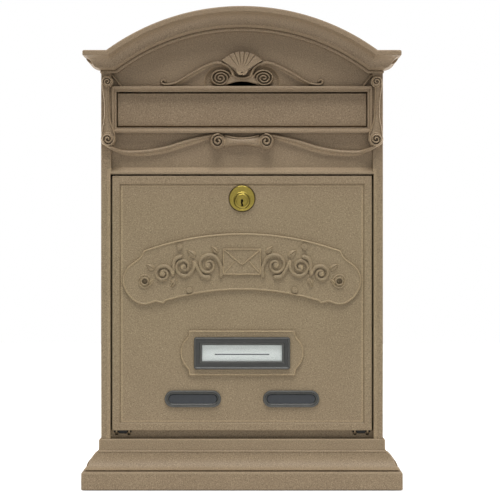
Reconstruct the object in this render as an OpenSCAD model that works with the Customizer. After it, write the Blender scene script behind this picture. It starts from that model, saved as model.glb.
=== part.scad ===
// Wall mounted mailbox, die-cast aluminium, with an arched cornice, a letter
// flap, a lockable front door hinged at its foot and a moulded plinth.
// X runs across the front, -Y is the front, +Y the wall side, +Z is up.
// The origin is the centre of the four wall holes, on the back face.
// All sizes are millimetres.

/* [Casing] */
// Half width of the body, to the outside of its stiles
body_hw = 129; // [128:0.5:131]
// Distance from the wall to the face of the stiles
face_y = 84; // [82:1:92]
// Distance from the wall to the joint between the rear and the front casting
split_y = 66; // [64:1:66]
// Wall thickness of the castings
wall = 2.6; // [2.4:0.1:3]

/* [Arched cornice] */
// Radius of the inner edge of the arched moulding
arch_ri = 189; // [188:0.5:190]
// Width of the moulding, from its inner edge to its lip
cornice_h = 20; // [19:0.5:21]
// How far the cornice stands out from the stiles
cornice_out = 16; // [14:0.5:17]
// Height of the underside of the horizontal ends of the cornice
cornice_z = 380; // [379:0.5:381]

/* [Plinth] */
// Height of the foot slab
slab_h = 17; // [16:0.5:17.5]
// How far the foot slab stands out from the stiles
slab_out = 17; // [16:0.5:18]
// Top of the plain band over the cove
fascia_z = 45.5; // [45:0.5:46]

/* [Letter slot] */
// Width of the letter slot
slot_w = 230; // [226:1:230]
// Bottom of the letter slot
slot_z0 = 330.2; // [330:0.1:330.5]
// Top of the letter slot
slot_z1 = 363.3; // [363:0.1:363.5]
// Thickness of the flap
flap_t = 2; // [1.5:0.1:2]

/* [Door] */
// Half width of the door opening
open_hw = 120.3; // [120:0.1:120.5]
// Half width of the door
door_hw = 119; // [118.5:0.1:119.2]
// Bottom edge of the door
door_z0 = 53.1; // [53:0.1:53.4]
// Top edge of the door
door_z1 = 286.3; // [285.5:0.1:286.5]
// Depth of the door's inner field below its border
field_d = 1.2; // [0.8:0.1:1.3]
// How far the cartouches stand out from the field
relief = 1.5; // [1:0.1:1.6]

/* [Lock] */
// Diameter of the lock's round face
lock_d = 23.3; // [22:0.1:24]
// Height of the lock's face centre
lock_z = 265.5; // [265:0.5:266]
// How far the plug sits below the centre of the face
plug_drop = 2.3; // [2:0.1:2.4]

/* [Wall holes] */
// Diameter of the wall holes
hole_d = 6.5; // [5:0.5:7]
// Distance between the wall holes across
hole_dx = 180; // [160:5:190]
// Distance between the wall holes up and down
hole_dz = 240; // [220:5:240]

/* [Hidden] */
$fn = 64;

F = face_y;
S = split_y;
origin_h = 230;                     // height of the wall holes' centre
arch_c = 230;                       // height of the arch centre
arch_ro = arch_ri + cornice_h + 1;  // lip of the arch
wall_in = body_hw - wall;           // inside of the side walls
plate_in = F - 7;                   // back of the front plate
tymp_y = F - 5.4;                   // face of the arched field
swag_y = F - 5.6;                   // face of the field under the slot
panel_y = F - field_d;              // face of the door's field
door_back = F - 3.6;                // back of the door's plate
hinge_y = 78;                       // door hinge axis, distance from the wall
hinge_z = 52.5;                     // and height
pin_r = 1.25;
flap_y = 70;                        // flap axis, distance from the wall
flap_f = flap_y + 8;                // face of the flap
flap_z = 366;
plug_z = lock_z - plug_drop;
lock_seat = 0.7;                    // how far the lock's flange sits in the door
post_x = 119;
post_z = [32, 384];

bronze = "#8f7f65";
bronze_dark = "#75664f";
steel = "#b9b9b5";
grey = "#4b4b49";
brass = "#a8903f";

// draw (x, z) outlines and extrude them from y0 to y1 in front of the wall
module xz(y0, y1) translate([0, -y0, 0]) rotate([90, 0, 0])
  linear_extrude(y1 - y0) children();
// draw (distance in front of the wall, z) outlines and extrude from x0 to x1
module yz(x0, x1) translate([x0, 0, 0]) rotate([90, 0, 90])
  linear_extrude(x1 - x0) mirror([1, 0]) children();
// a cylinder along Y between y0 and y1 in front of the wall
module ycyl(r, x, z, y0, y1) translate([x, -y0, z]) rotate([90, 0, 0])
  cylinder(r = r, h = y1 - y0);
module xcyl(r, y, z, x0, x1) translate([x0, -y, z]) rotate([0, 90, 0])
  cylinder(r = r, h = x1 - x0);
module blk(x0, x1, y0, y1, z0, z1) translate([x0, -y1, z0])
  cube([x1 - x0, y1 - y0, z1 - z0]);
module both() { children(); mirror([1, 0, 0]) children(); }
module lift() translate([0, 0, -origin_h]) children();

function arcp(cx, cz, r, a0, a1, n) =
  [for (i = [0:n]) let (a = a0 + (a1 - a0) * i / n)
    [cx + r * cos(a), cz + r * sin(a)]];
function rev(v) = [for (i = [len(v) - 1:-1:0]) v[i]];
function mir(v) = [for (p = rev(v)) [-p[0], p[1]]];
// outline of a band of width w that follows the points of path v
function tangent(v, i) = let (a = v[max(i - 1, 0)],
    b = v[min(i + 1, len(v) - 1)], d = b - a) d / norm(d);
function side(v, w) = [for (i = [0:len(v) - 1]) let (t = tangent(v, i))
    v[i] + w / 2 * [-t[1], t[0]]];
function band(v, w) = concat(side(v, w), rev(side(v, -w)));

// overhang of the cornice at height d over its lower edge: a small ogee,
// a cavetto and a lip
function cav(t) = [4 + (cornice_out - 4.5) * (1 - cos(t)), 4.5 + 10.5 * sin(t)];
cornice_pts = concat([[0.5, 0]], [for (t = [0:15:90]) cav(t)],
  [[cornice_out, cornice_h - 4.6], [cornice_out, cornice_h - 0.8],
   [cornice_out - 0.8, cornice_h]]);
// overhang of the plinth from its foot to the band over the cove
function cove(t) = [3 + 11.7 * (1 - sin(t)), 18.6 + 14.9 * (1 - cos(t))];
plinth_pts = concat([[slab_out - 0.6, 0], [slab_out, 0.6],
    [slab_out, slab_h - 2.2], [slab_out - 0.6, slab_h - 0.7],
    [slab_out - 2, slab_h], [slab_out - 3.4, slab_h], [slab_out - 3.4, 18.3]],
  [for (t = [0:15:90]) cove(t)],
  [[3, 34.4], [2, 34.9], [2, fascia_z - 1.1], [0.9, fascia_z]]);

// ---------------------------------------------------------------- castings
// rounded side returns of the rear casting
rear_top = [for (t = [90:-15:0]) [body_hw + 2 + 13.2 * cos(t), 396 - 11 * sin(t)]];
rear_foot = [for (t = [0:15:90]) [body_hw + 2 + 12.8 * sin(t), 17.3 + 15 * cos(t)]];
rear_half = concat(
  [[slab_out + body_hw - 0.3, 0], [slab_out + body_hw - 0.3, slab_h - 1],
   [slab_out + body_hw - 1.6, slab_h], [body_hw + 14.8, slab_h]],
  rev(rear_foot), [[body_hw, 33], [body_hw, 384.6]], rear_top,
  [[body_hw + 15.2, 399.6]]);

module rear_outline() {
  polygon(concat(rear_half, mir(rear_half)));
  intersection() {
    translate([0, arch_c]) circle(r = arch_ro - 1.2, $fn = 180);
    translate([-124, 395]) square([248, 60]);
  }
}
module cavity2d(r, zt) {
  translate([-wall_in, 20]) square([2 * wall_in, zt - 20]);
  intersection() {
    translate([0, arch_c]) circle(r = r, $fn = 180);
    translate([-wall_in, zt - 1]) square([2 * wall_in, 80]);
  }
}

module rear_box() color(bronze) lift() difference() {
  union() {
    difference() {
      xz(0, S) rear_outline();
      xz(3, S + 1) cavity2d(205, 396);
      // hollow foot, open below
      blk(-body_hw - slab_out + 3.4, body_hw + slab_out - 3.4, 3, S + 1, -1, 16.6);
    }
    // posts for the long assembly screws
    both() for (z = post_z) ycyl(6.2, post_x, z, 1, S);
    // pads round the wall holes
    both() for (z = [-1, 1]) ycyl(9, hole_dx / 2, origin_h + z * hole_dz / 2, 1, 5);
  }
  both() for (z = post_z) {
    ycyl(2.25, post_x, z, -1, S + 1);
    ycyl(4.6, post_x, z, -1, 50);
  }
  both() for (z = [-1, 1])
    ycyl(hole_d / 2, hole_dx / 2, origin_h + z * hole_dz / 2, -1, 6);
}

module cornice() intersection() {
  // arched moulding, turned about the arch centre
  translate([0, 0, arch_c]) rotate([90, 0, 0]) rotate_extrude($fn = 240)
    polygon(concat([[0, S], [0, F]], [[arch_ri, F]],
      [for (p = cornice_pts) [arch_ri + p[1] * 1.05, F + p[0]]],
      [[arch_ri + 90, F + cornice_out - 0.8], [arch_ri + 90, S]]));
  // the straight ends
  yz(-200, 200) polygon([for (p = concat([[-S, cornice_z], [-F, cornice_z]],
      [for (p = cornice_pts) [-F - p[0], cornice_z + p[1]]],
      [[-F - cornice_out + 0.8, 460], [-S, 460]])) [-p[0], p[1]]]);
  // footprint: the arch's lip, and the straight ends with their side returns
  xz(S, F + cornice_out + 1) {
    intersection() {
      translate([0, arch_c]) circle(r = arch_ro, $fn = 240);
      translate([-body_hw, cornice_z]) square([2 * body_hw, 80]);
    }
    polygon(concat(
      [for (p = cornice_pts) [body_hw + p[0], cornice_z + p[1]]],
      mir([for (p = cornice_pts) [body_hw + p[0], cornice_z + p[1]]])));
  }
}

module plinth() intersection() {
  yz(-200, 200) polygon(concat([for (p = plinth_pts) [F + p[0], p[1]]],
    [[S, fascia_z], [S, 0]]));
  xz(S, F + slab_out + 1) polygon(concat(
    [for (p = plinth_pts) [body_hw + p[0], p[1]]],
    mir([for (p = plinth_pts) [body_hw + p[0], p[1]]])));
}

// ------------------------------------------------ scroll work, all cast on
up_band = [[8.4, 379.3], [11.4, 385.9], [15.5, 388.6], [21.9, 390],
  [28.3, 388.9], [37.9, 384.5], [47.5, 379.1], [56.8, 372.8], [64.3, 370],
  [69.9, 369.5], [73.2, 370.6], [73.4, 372.6], [71.5, 373.6]];
low_band = [[22, 324.3], [29.2, 323.3], [42.9, 320], [55, 316.8],
  [73.6, 311], [87.7, 308.8], [101.6, 308], [113.3, 308.9], [119.2, 311.4]];
// side consoles: the outer edge goes up, the inner edge comes down
console = concat([[127.4, 318], [127.6, 326], [127.9, 341], [127.6, 358],
    [128.3, 372]], arcp(123.6, 373.5, 4.8, 0, 150, 8),
  [[119.6, 371], [119.9, 345], [119.4, 333], [116.8, 324]],
  arcp(122.6, 319.4, 6.2, 160, 340, 10));
function fan(i) = 20 + 140 * i / 7;
shell = concat([[-6, 378.5]], [for (i = [7:-1:0]) let (a = fan(i))
    for (s = [8, 0, -8]) let (r = (s == 0 ? 1 : 0.93) * (18 + 3 * sin(a)))
      [r * cos(a + s), 380 + 0.93 * r * sin(a + s)]], [[6, 378.5]]);

module scrollwork() {
  both() {
    xz(tymp_y - 0.5, tymp_y + 3.4) polygon(band(up_band, 2));
    xz(tymp_y - 0.5, tymp_y + 4.4) polygon(concat(
      arcp(19.2, 375.5, 8, 0, 350, 24)));
    xz(swag_y - 0.5, swag_y + 4) polygon(band(low_band, 2.6));
    xz(swag_y - 0.5, F + 1) polygon(arcp(22, 317.9, 6.7, 0, 350, 20));
    xz(tymp_y - 1, F + 2.4) polygon(console);
    ycyl(2.2, 122.9, 371.9, F, F + 3.4);
    ycyl(3, 122.9, 319.4, F, F + 3.4);
  }
  xz(tymp_y - 0.5, tymp_y + 5.6) polygon(shell);
  // saddles between the volutes
  xz(tymp_y - 0.5, tymp_y + 4) polygon(concat(
    [[-16, 368.6], [-16, 372], [-10, 378.8]], [[0, 376.4]],
    [[10, 378.8], [16, 372], [16, 368.6]], [[0, 372.6]]));
  xz(swag_y - 0.5, swag_y + 4.4) polygon([[-20, 311.4], [-20, 324], [-15.8, 324.1],
    [0, 321], [15.8, 324.1], [20, 324], [20, 311.4], [0, 314.1]]);
}

module front_frame() color(bronze) lift() difference() {
  union() {
    difference() {
      union() {
        blk(-body_hw, body_hw, S, F, 18, 396);
        intersection() {
          xz(S, F) translate([0, arch_c]) circle(r = arch_ri + 8, $fn = 180);
          blk(-123, 123, S, F, 380, 440);
        }
        cornice();
        plinth();
      }
      // inside of the casting
      xz(S - 1, plate_in) cavity2d(203, 395);
      blk(-body_hw - slab_out + 3.4, body_hw + slab_out - 3.4, S - 1,
        F + slab_out - 4, -1, 13.5);
      blk(-wall_in, wall_in, S - 1, F - 1, 20, 42.4);
      // arched field, field under the slot, and the strip under the door
      xz(tymp_y, F + 30) intersection() {
        translate([0, arch_c]) circle(r = arch_ri, $fn = 240);
        translate([-119.6, 369]) square([239.2, 60]);
      }
      xz(tymp_y, F + 1) translate([-119.6, 322]) square([239.2, 50]);
      yz(-119.4, 119.4) polygon([[F + 2, 290], [F, 290], [swag_y, 293.6],
        [swag_y, 326.5], [F + 2, 326.5]]);
      blk(-open_hw, open_hw, hinge_y, F + 5, fascia_z, 60);
      // door opening
      blk(-open_hw, open_hw, S - 1, F + 1, 52, 287.6);
      both() {
        blk(100.9, 117.7, S - 1, F + 1, 51.2, 60);
        blk(102.3, 105, S - 1, F + 1, 48.6, 60);
        blk(113.6, 116.3, S - 1, F + 1, 48.6, 60);
      }
    }
    // backing of the strip under the door
    difference() {
      blk(-wall_in - 1, wall_in + 1, 75, plate_in + 0.5, 40, 51.9);
      both() {
        blk(100.9, 117.7, 70, F, 51.2, 60);
        blk(102.3, 105, 70, F, 48.6, 60);
        blk(113.6, 116.3, 70, F, 48.6, 60);
      }
    }
    // frame round the letter slot, and its thinner inner step
    difference() {
      blk(-120, 120, plate_in, F, 326, 369);
      blk(-116.8, 116.8, F - 1.5, F + 1, 328.4, 365.2);
    }
    both() xz(F - 1, F + 0.8) translate([117.3, 327.4]) square([1.6, 40.2]);
    for (z = [327.4, 366]) blk(-118.9, 118.9, F - 1, F + 0.8, z, z + 1.6);
    scrollwork();
    // ledge that the door shuts against, with gussets in the top corners
    both() {
      blk(open_hw + 0.6, wall_in + 1, plate_in - 5, plate_in + 0.5, 62, 288);
      blk(116.4, wall_in + 1, plate_in - 5, plate_in - 2.5, 62, 288);
      blk(107, 118, plate_in - 5, plate_in - 2.5, 274, 288);
      // hinge lugs
      blk(105.6, 113, 72, 76, 42, 52.5);
      xcyl(2.6, hinge_y, hinge_z, 105.6, 113);
      blk(105.6, 113, 74.6, hinge_y, 49.9, 55.1);
      // flap lugs
      blk(116.2, 119, flap_y - 3.9, plate_in + 0.5, 361, 370);
      // bosses for the assembly screws
      for (z = post_z)
        ycyl(5.6, post_x, z, S, z < 100 ? F - 0.5 : plate_in + 1);
    }
    blk(-wall_in - 1, wall_in + 1, plate_in - 5, plate_in - 2.5, 283, 292);
    blk(-wall_in - 1, wall_in + 1, plate_in - 5, plate_in + 0.5, 288.4, 292);
    // catch for the lock's cam
    blk(-14, 14, 63.6, plate_in - 3, 288.4, 297);
  }
  // letter slot
  blk(-slot_w / 2, slot_w / 2, 60, F + 9, slot_z0, slot_z1);
  both() {
    xcyl(pin_r, hinge_y, hinge_z, 100, 120);
    xcyl(1.5, flap_y, flap_z, 110, 122);
    for (z = post_z) ycyl(2, post_x, z, S - 1, plate_in - 1);
    ycyl(1.5, 112, 279.5, 60, plate_in);
  }
}

module frame_screws() color(steel) lift() both() for (z = post_z) {
  ycyl(2, post_x, z, 46.5, 75);
  difference() {
    ycyl(4.2, post_x, z, 46.5, 50);
    ycyl(2, post_x, z, 46, 48.5);
  }
}

module door_hinge_pins() color(steel) lift() both() {
  xcyl(pin_r, hinge_y, hinge_z, 101.6, 117.4);
}

module flap_pin() color(steel) lift()
  xcyl(1.5, flap_y, flap_z, -121.5, 121.5);

module flap_pin_clips() color(steel) lift() both() difference() {
  xcyl(3.4, flap_y, flap_z, 119.1, 120);
  xcyl(1.5, flap_y, flap_z, 119, 121);
}

// torsion spring: a leg up to the casing, the coil, and a leg behind the flap
sp_n = 6;
sp_pts = concat([[-99.5, 6.3, 12], [-99.5, 2.8, 3]],
  [for (i = [0:10 * sp_n]) let (a = -36 * i)
    [-99.5 - 1.5 * i / 10, 2.7 * cos(a), 2.7 * sin(a)]],
  [[-108.5, 3.4, -5], [-108.5, 5.3, -9], [-108.5, 5.5, -17]]);
function ring3(p, t, r, n) = let (u = cross(t, [0.31, 0.2, 0.93]),
    a = u / norm(u), b = cross(t, a)) [for (k = [0:n - 1])
      p + r * (cos(360 * k / n) * a + sin(360 * k / n) * b)];
module wire(v, r, n = 6) {
  m = len(v);
  rings = [for (i = [0:m - 1]) let (t = tangent(v, i)) each ring3(v[i], t, r, n)];
  polyhedron(points = rings, faces = concat(
    [[for (k = [0:n - 1]) k]], [[for (k = [n - 1:-1:0]) (m - 1) * n + k]],
    [for (i = [0:m - 2]) for (k = [0:n - 1]) let (j = (k + 1) % n)
      each [[i * n + k, (i + 1) * n + k, (i + 1) * n + j],
            [i * n + k, (i + 1) * n + j, i * n + j]]]));
}
module flap_spring() color(steel) lift()
  translate([0, -flap_y, flap_z]) wire([for (p = sp_pts) [p[0], -p[1], p[2]]], 0.45);

module door_bumpers() color("#2b2b2b") lift() both() {
  ycyl(1.5, 112, 279.5, plate_in - 5, plate_in - 1);
  ycyl(2.8, 112, 279.5, plate_in - 2.5, door_back - 0.4);
}

// -------------------------------------------------------------------- door
cart_half = concat([[0, 233.7]],
  [for (a = [86:-4:70]) [263 * cos(a), -29.4 + 263 * sin(a)]],
  [[93.5, 211.5], [95.2, 209.6]],
  [[101.5, 205.2], [106.5, 198.6], [109.1, 191], [109, 183], [106, 175.5],
   [98.5, 170], [89, 168.2], [83, 169.6], [79.2, 170.9], [74, 169.6]],
  [for (a = [72:4:88]) [240 * cos(a), -58.1 + 240 * sin(a)]], [[0, 181.9]]);
name_half = concat([[49, 144.6]], [[49, 140.2], [50.4, 138.6]],
  arcp(37.8, 124.05, 18.6, 47, -47, 10), [[50.4, 109.5], [49, 107.9], [49, 103.5]]);

module stadium(w, h) { square([w - h, h], center = true);
  for (s = [-1, 1]) translate([s * (w - h) / 2, 0]) circle(d = h, $fn = 48); }
module rr(w, h, r) { square([w - 2 * r, h], center = true);
  square([w, h - 2 * r], center = true);
  for (i = [-1, 1]) for (j = [-1, 1])
    translate([i * (w / 2 - r), j * (h / 2 - r)]) circle(r = r, $fn = 32); }

module door_panel() color(bronze) lift() difference() {
  union() {
    difference() {
      blk(-door_hw, door_hw, door_back + 0.8, F, door_z0, door_z1);
      blk(-111.8, 111.8, panel_y, F + 1, 60.3, 278.8);
    }
    blk(-112.5, 112.5, door_back, panel_y, 59.5, 279.6);
    // returned rim behind the top and the sides
    both() blk(117, door_hw, 75, door_back + 1, 62, door_z1);
    blk(-door_hw, door_hw, 75, door_back + 1, door_z1 - 2, door_z1);
    // cartouches
    xz(panel_y - 0.5, panel_y + relief) {
      polygon(concat(cart_half, mir(cart_half)));
      polygon(concat(name_half, mir(name_half)));
    }
    // rings and rivets of the long cartouche
    both() {
      ycyl(6.3, 89, 189.7, panel_y, panel_y + relief + 0.8);
      ycyl(2.5, 57, 221.6, panel_y, panel_y + relief + 0.7);
      ycyl(2.5, 48.2, 181.2, panel_y, panel_y + relief + 0.7);
      // bosses for the hinge screws
      for (z = [60.5, 67.5]) ycyl(1.9, 109.25, z, door_back - 0.3, door_back + 1);
    }
    // plain raised emblem: a closed envelope
    xz(panel_y, panel_y + relief + 0.8) difference() {
      translate([-19, 193.5]) square([38, 27]);
      translate([-17.4, 195.1]) square([34.8, 23.8]);
    }
    xz(panel_y, panel_y + relief + 0.8) {
      polygon(band([[-18, 219.6], [0, 204.5], [18, 219.6]], 1.6));
      polygon(band([[-18, 194.6], [-6.5, 208.6]], 1.4));
      polygon(band([[18, 194.6], [6.5, 208.6]], 1.4));
    }
  }
  // ring recesses, lock hole, name opening and the two inspection windows
  both() ycyl(3.1, 89, 189.7, panel_y + 0.2, F + 3);
  ycyl(9.6, 0, lock_z, 70, F + 5);
  ycyl(lock_d / 2 + 0.6, 0, lock_z, panel_y - lock_seat, F + 5);
  blk(-40.4, 40.4, 70, F + 5, 112.2, 135.4);
  both() xz(70, F + 5) translate([45, 82]) stadium(47, 11);
  both() for (z = [60.5, 67.5]) ycyl(1, 109.25, z, 70, F - 1.6);
}

module hinge_brackets() color(steel) lift() both() difference() {
  union() {
    for (x = [103.5, 115]) yz(x - 0.75, x + 0.75) difference() {
      union() {
        polygon([[hinge_y + 2, 50.9], [door_back - 0.1, 54.5], [door_back - 0.1, 71],
          [door_back - 3.4, 71], [hinge_y - 2.6, 60], [hinge_y - 2.6, 52.5]]);
        translate([hinge_y, hinge_z]) circle(r = 2.6);
      }
    }
    blk(103, 115.5, door_back - 1.5, door_back - 0.3, 57, 71);
  }
  xcyl(pin_r + 0.05, hinge_y, hinge_z, 100, 120);
  for (z = [60.5, 67.5]) ycyl(1.2, 109.25, z, 70, 85);
}

module hinge_bracket_screws() color(steel) lift() both() for (z = [60.5, 67.5]) {
  ycyl(1, 109.25, z, door_back - 2.8, F - 1.8);
  ycyl(2.1, 109.25, z, door_back - 2.9, door_back - 1.5);
}

module name_frame() color(grey) lift() difference() {
  union() {
    translate([0, 0, 123.8]) {
      xz(panel_y + relief, panel_y + relief + 1.6) rr(88, 29.6, 1.5);
      xz(panel_y + relief + 1.6, panel_y + relief + 2.3) rr(85.6, 27.2, 1.2);
    }
    blk(-40, 40, door_back - 1.4, panel_y + relief + 0.4, 112.6, 135);
  }
  blk(-36.3, 36.3, 70, F + 9, 115.8, 131.2);
  blk(-38.8, 38.8, 70, F - 0.6, 114, 133.6);
}
module name_window() color("#dfe6e8", 0.35) lift()
  blk(-38.7, 38.7, F - 1.6, F - 0.6, 114.1, 133.5);
module name_card() color("#f4f4f2") lift()
  blk(-38.4, 38.4, F - 2, F - 1.6, 114.4, 133.2);
module name_retainer() color(grey) lift() {
  blk(-38.6, 38.6, F - 3.6, F - 2, 114.3, 133.3);
  blk(-44, 44, door_back - 2.8, door_back - 1.4, 109.4, 138.2);
  blk(-38.6, 38.6, door_back - 2, F - 2, 114.3, 133.3);
}

module bezel() color(grey) difference() {
  union() {
    xz(panel_y, panel_y + 0.9) stadium(51.6, 15.4);
    xz(panel_y + 0.8, panel_y + 1.3) stadium(50.6, 14.4);
    xz(door_back - 2.4, panel_y + 0.1) stadium(46.6, 10.6);
    xz(door_back - 2.2, door_back - 0.6) stadium(48, 12);
  }
  xz(60, F - 1) stadium(43.6, 7.6);
  xz(60, F + 5) stadium(41.6, 5.6);
}
module pane() color("#4b535a", 0.6) xz(door_back - 1.8, F - 1.05)
  stadium(43.3, 7.3);
module window_bezel_left() lift() translate([-45, 0, 82]) bezel();
module window_bezel_right() lift() translate([45, 0, 82]) bezel();
module window_pane_left() lift() translate([-45, 0, 82]) pane();
module window_pane_right() lift() translate([45, 0, 82]) pane();

// -------------------------------------------------------------------- lock
module lock_body() color(brass) lift() difference() {
  union() {
    ycyl(lock_d / 2, 0, lock_z, panel_y - lock_seat, panel_y + 1.5);
    translate([0, -panel_y - 1.5, lock_z]) rotate([90, 0, 0])
      cylinder(r1 = lock_d / 2, r2 = lock_d / 2 - 0.6, h = 0.5);
    intersection() {
      ycyl(9.4, 0, lock_z, 64.6, panel_y + 0.5);
      blk(-8.2, 8.2, 60, F, 240, 290);
    }
  }
  ycyl(6, 0, plug_z, 60, F + 5);
  ycyl(7.1, 0, plug_z, panel_y + 0.6, F + 5);
}
module lock_washer() color(steel) lift() difference() {
  ycyl(12, 0, lock_z, door_back - 1.2, door_back);
  ycyl(9.6, 0, lock_z, 60, F);
}
module lock_nut() color(steel) lift() difference() {
  ycyl(12.4, 0, lock_z, door_back - 4.6, door_back - 1.2, $fn = 6);
  ycyl(9.5, 0, lock_z, 60, F);
}
module lock_plug() color(brass) lift() difference() {
  union() {
    ycyl(5.95, 0, plug_z, 63.2, panel_y + 1);
    ycyl(6.8, 0, plug_z, panel_y + 0.9, panel_y + 2.2);
    translate([0, -panel_y - 2.2, plug_z]) rotate([90, 0, 0])
      cylinder(r1 = 6.8, r2 = 6.2, h = 0.5);
  }
  // stepped keyway
  blk(-0.7, 0.7, 68, F + 5, plug_z - 5.2, plug_z + 0.9);
  blk(-1.3, 0.2, 68, F + 5, plug_z - 3, plug_z - 1.6);
  blk(-0.2, 1.3, 68, F + 5, plug_z - 5.2, plug_z - 4);
  ycyl(5.2, 0, plug_z, F + 0.6, F + 5);
  ycyl(2, 0, plug_z, 62, 68);
}
// the cam points sideways here, clear of its catch, and turns up to lock
module lock_cam() color(steel) lift() difference() {
  xz(61, 63.2) {
    translate([0, plug_z]) circle(r = 8);
    translate([0, plug_z - 6.5]) square([34, 13]);
    translate([34, plug_z - 4.5]) square([2, 9]);
  }
  ycyl(2.2, 0, plug_z, 60, 65);
}
module cam_screw() color(steel) lift() difference() {
  union() {
    ycyl(1.95, 0, plug_z, 60.5, 67.5);
    ycyl(4, 0, plug_z, 58.4, 61);
  }
  blk(-0.5, 0.5, 58, 59.6, plug_z - 3, plug_z + 3);
  blk(-3, 3, 58, 59.6, plug_z - 0.5, plug_z + 0.5);
}

// -------------------------------------------------------------------- flap
module letter_flap() color(bronze_dark) lift() difference() {
  union() {
    yz(-114, 114) polygon([[flap_f, 332.3], [flap_f - flap_t, 331.3],
      [flap_f - flap_t, 359.8], [flap_y - 0.7, 359.8], [flap_y - 0.7, 361.8],
      [flap_f, 361.8]]);
    // knuckle, left out where the spring sits
    yz(-98, 113.6) knuckle2d();
    xcyl(3, flap_y, flap_z, -98, 113.6);
    yz(-113.6, -111.2) knuckle2d();
    xcyl(3, flap_y, flap_z, -113.6, -111.2);
    // stiffening lip along the lower edge
    blk(-112, 112, flap_f - 4.1, flap_f - 1.5, 334, 335.4);
  }
  xcyl(1.55, flap_y, flap_z, -120, 120);
  blk(-111.2, -98.2, flap_y - 3.5, flap_f - flap_t, 355, 370);
}
module knuckle2d() polygon([[flap_y + 1.5, 360], [flap_y - 1.5, 360],
  [flap_y - 1.5, 366], [flap_y + 1.5, 366]]);

rear_box();
front_frame();
frame_screws();
door_hinge_pins();
flap_pin();
flap_pin_clips();
flap_spring();
door_bumpers();
door_panel();
hinge_brackets();
hinge_bracket_screws();
name_frame();
name_window();
name_card();
name_retainer();
window_bezel_left();
window_bezel_right();
window_pane_left();
window_pane_right();
lock_body();
lock_washer();
lock_nut();
lock_plug();
lock_cam();
cam_screw();
letter_flap();
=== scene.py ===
import math

import bmesh
import bpy
from mathutils import Matrix, Vector, noise


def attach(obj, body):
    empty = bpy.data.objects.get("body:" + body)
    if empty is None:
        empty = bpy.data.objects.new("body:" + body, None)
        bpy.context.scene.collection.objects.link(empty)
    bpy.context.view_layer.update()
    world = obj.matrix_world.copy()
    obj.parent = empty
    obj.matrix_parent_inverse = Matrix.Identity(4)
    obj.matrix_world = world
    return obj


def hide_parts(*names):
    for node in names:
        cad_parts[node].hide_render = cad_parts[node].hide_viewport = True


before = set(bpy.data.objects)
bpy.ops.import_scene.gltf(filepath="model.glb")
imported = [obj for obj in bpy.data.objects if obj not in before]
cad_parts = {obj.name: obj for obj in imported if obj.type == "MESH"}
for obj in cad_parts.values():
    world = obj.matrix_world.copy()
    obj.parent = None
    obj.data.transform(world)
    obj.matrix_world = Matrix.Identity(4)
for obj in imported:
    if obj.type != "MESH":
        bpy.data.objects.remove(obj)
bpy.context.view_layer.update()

# All shapes below are given in millimetres as (x, d, z): x across the front, d the distance from the wall
# towards the front, z the height above the foot. P() turns them into the frame's metres.
ZH = 230.0


def P(x, d, z):
    return Vector((x / 1000.0, -d / 1000.0, (z - ZH) / 1000.0))


def lin(a, b, n):
    return [a + (b - a) * i / (n - 1) for i in range(n)]


def cosd(a):
    return math.cos(math.radians(a))


def sind(a):
    return math.sin(math.radians(a))


# ------------------------------------------------------------------ materials
def rgb(r, g, b):
    def f(c):
        c = c / 255.0
        return c / 12.92 if c <= 0.04045 else ((c + 0.055) / 1.055) ** 2.4
    return (f(r), f(g), f(b), 1.0)


def material(name):
    m = bpy.data.materials.new(name)
    m.use_nodes = True
    nt = m.node_tree
    nt.nodes.clear()
    out = nt.nodes.new("ShaderNodeOutputMaterial")
    bs = nt.nodes.new("ShaderNodeBsdfPrincipled")
    nt.links.new(bs.outputs[0], out.inputs[0])
    return m, nt, bs


def noise_tex(nt, co, scale, detail=2.0, rough=0.5):
    n = nt.nodes.new("ShaderNodeTexNoise")
    n.inputs["Scale"].default_value = scale
    n.inputs["Detail"].default_value = detail
    n.inputs["Roughness"].default_value = rough
    nt.links.new(co, n.inputs["Vector"])
    return n


def ramp(nt, src, stops):
    r = nt.nodes.new("ShaderNodeValToRGB")
    el = r.color_ramp.elements
    while len(el) < len(stops):
        el.new(0.5)
    for e, (p, c) in zip(el, stops):
        e.position = p
        e.color = c
    nt.links.new(src, r.inputs[0])
    return r


def mixc(nt, fac, a, b, mode="MIX"):
    m = nt.nodes.new("ShaderNodeMix")
    m.data_type = "RGBA"
    m.blend_type = mode
    if isinstance(fac, float):
        m.inputs["Factor"].default_value = fac
    else:
        nt.links.new(fac, m.inputs["Factor"])
    for key, v in (("A", a), ("B", b)):
        s = [i for i in m.inputs if i.name == key and i.type == "RGBA"][0]
        if isinstance(v, tuple):
            s.default_value = v
        else:
            nt.links.new(v, s)
    return [o for o in m.outputs if o.type == "RGBA"][0]


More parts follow.
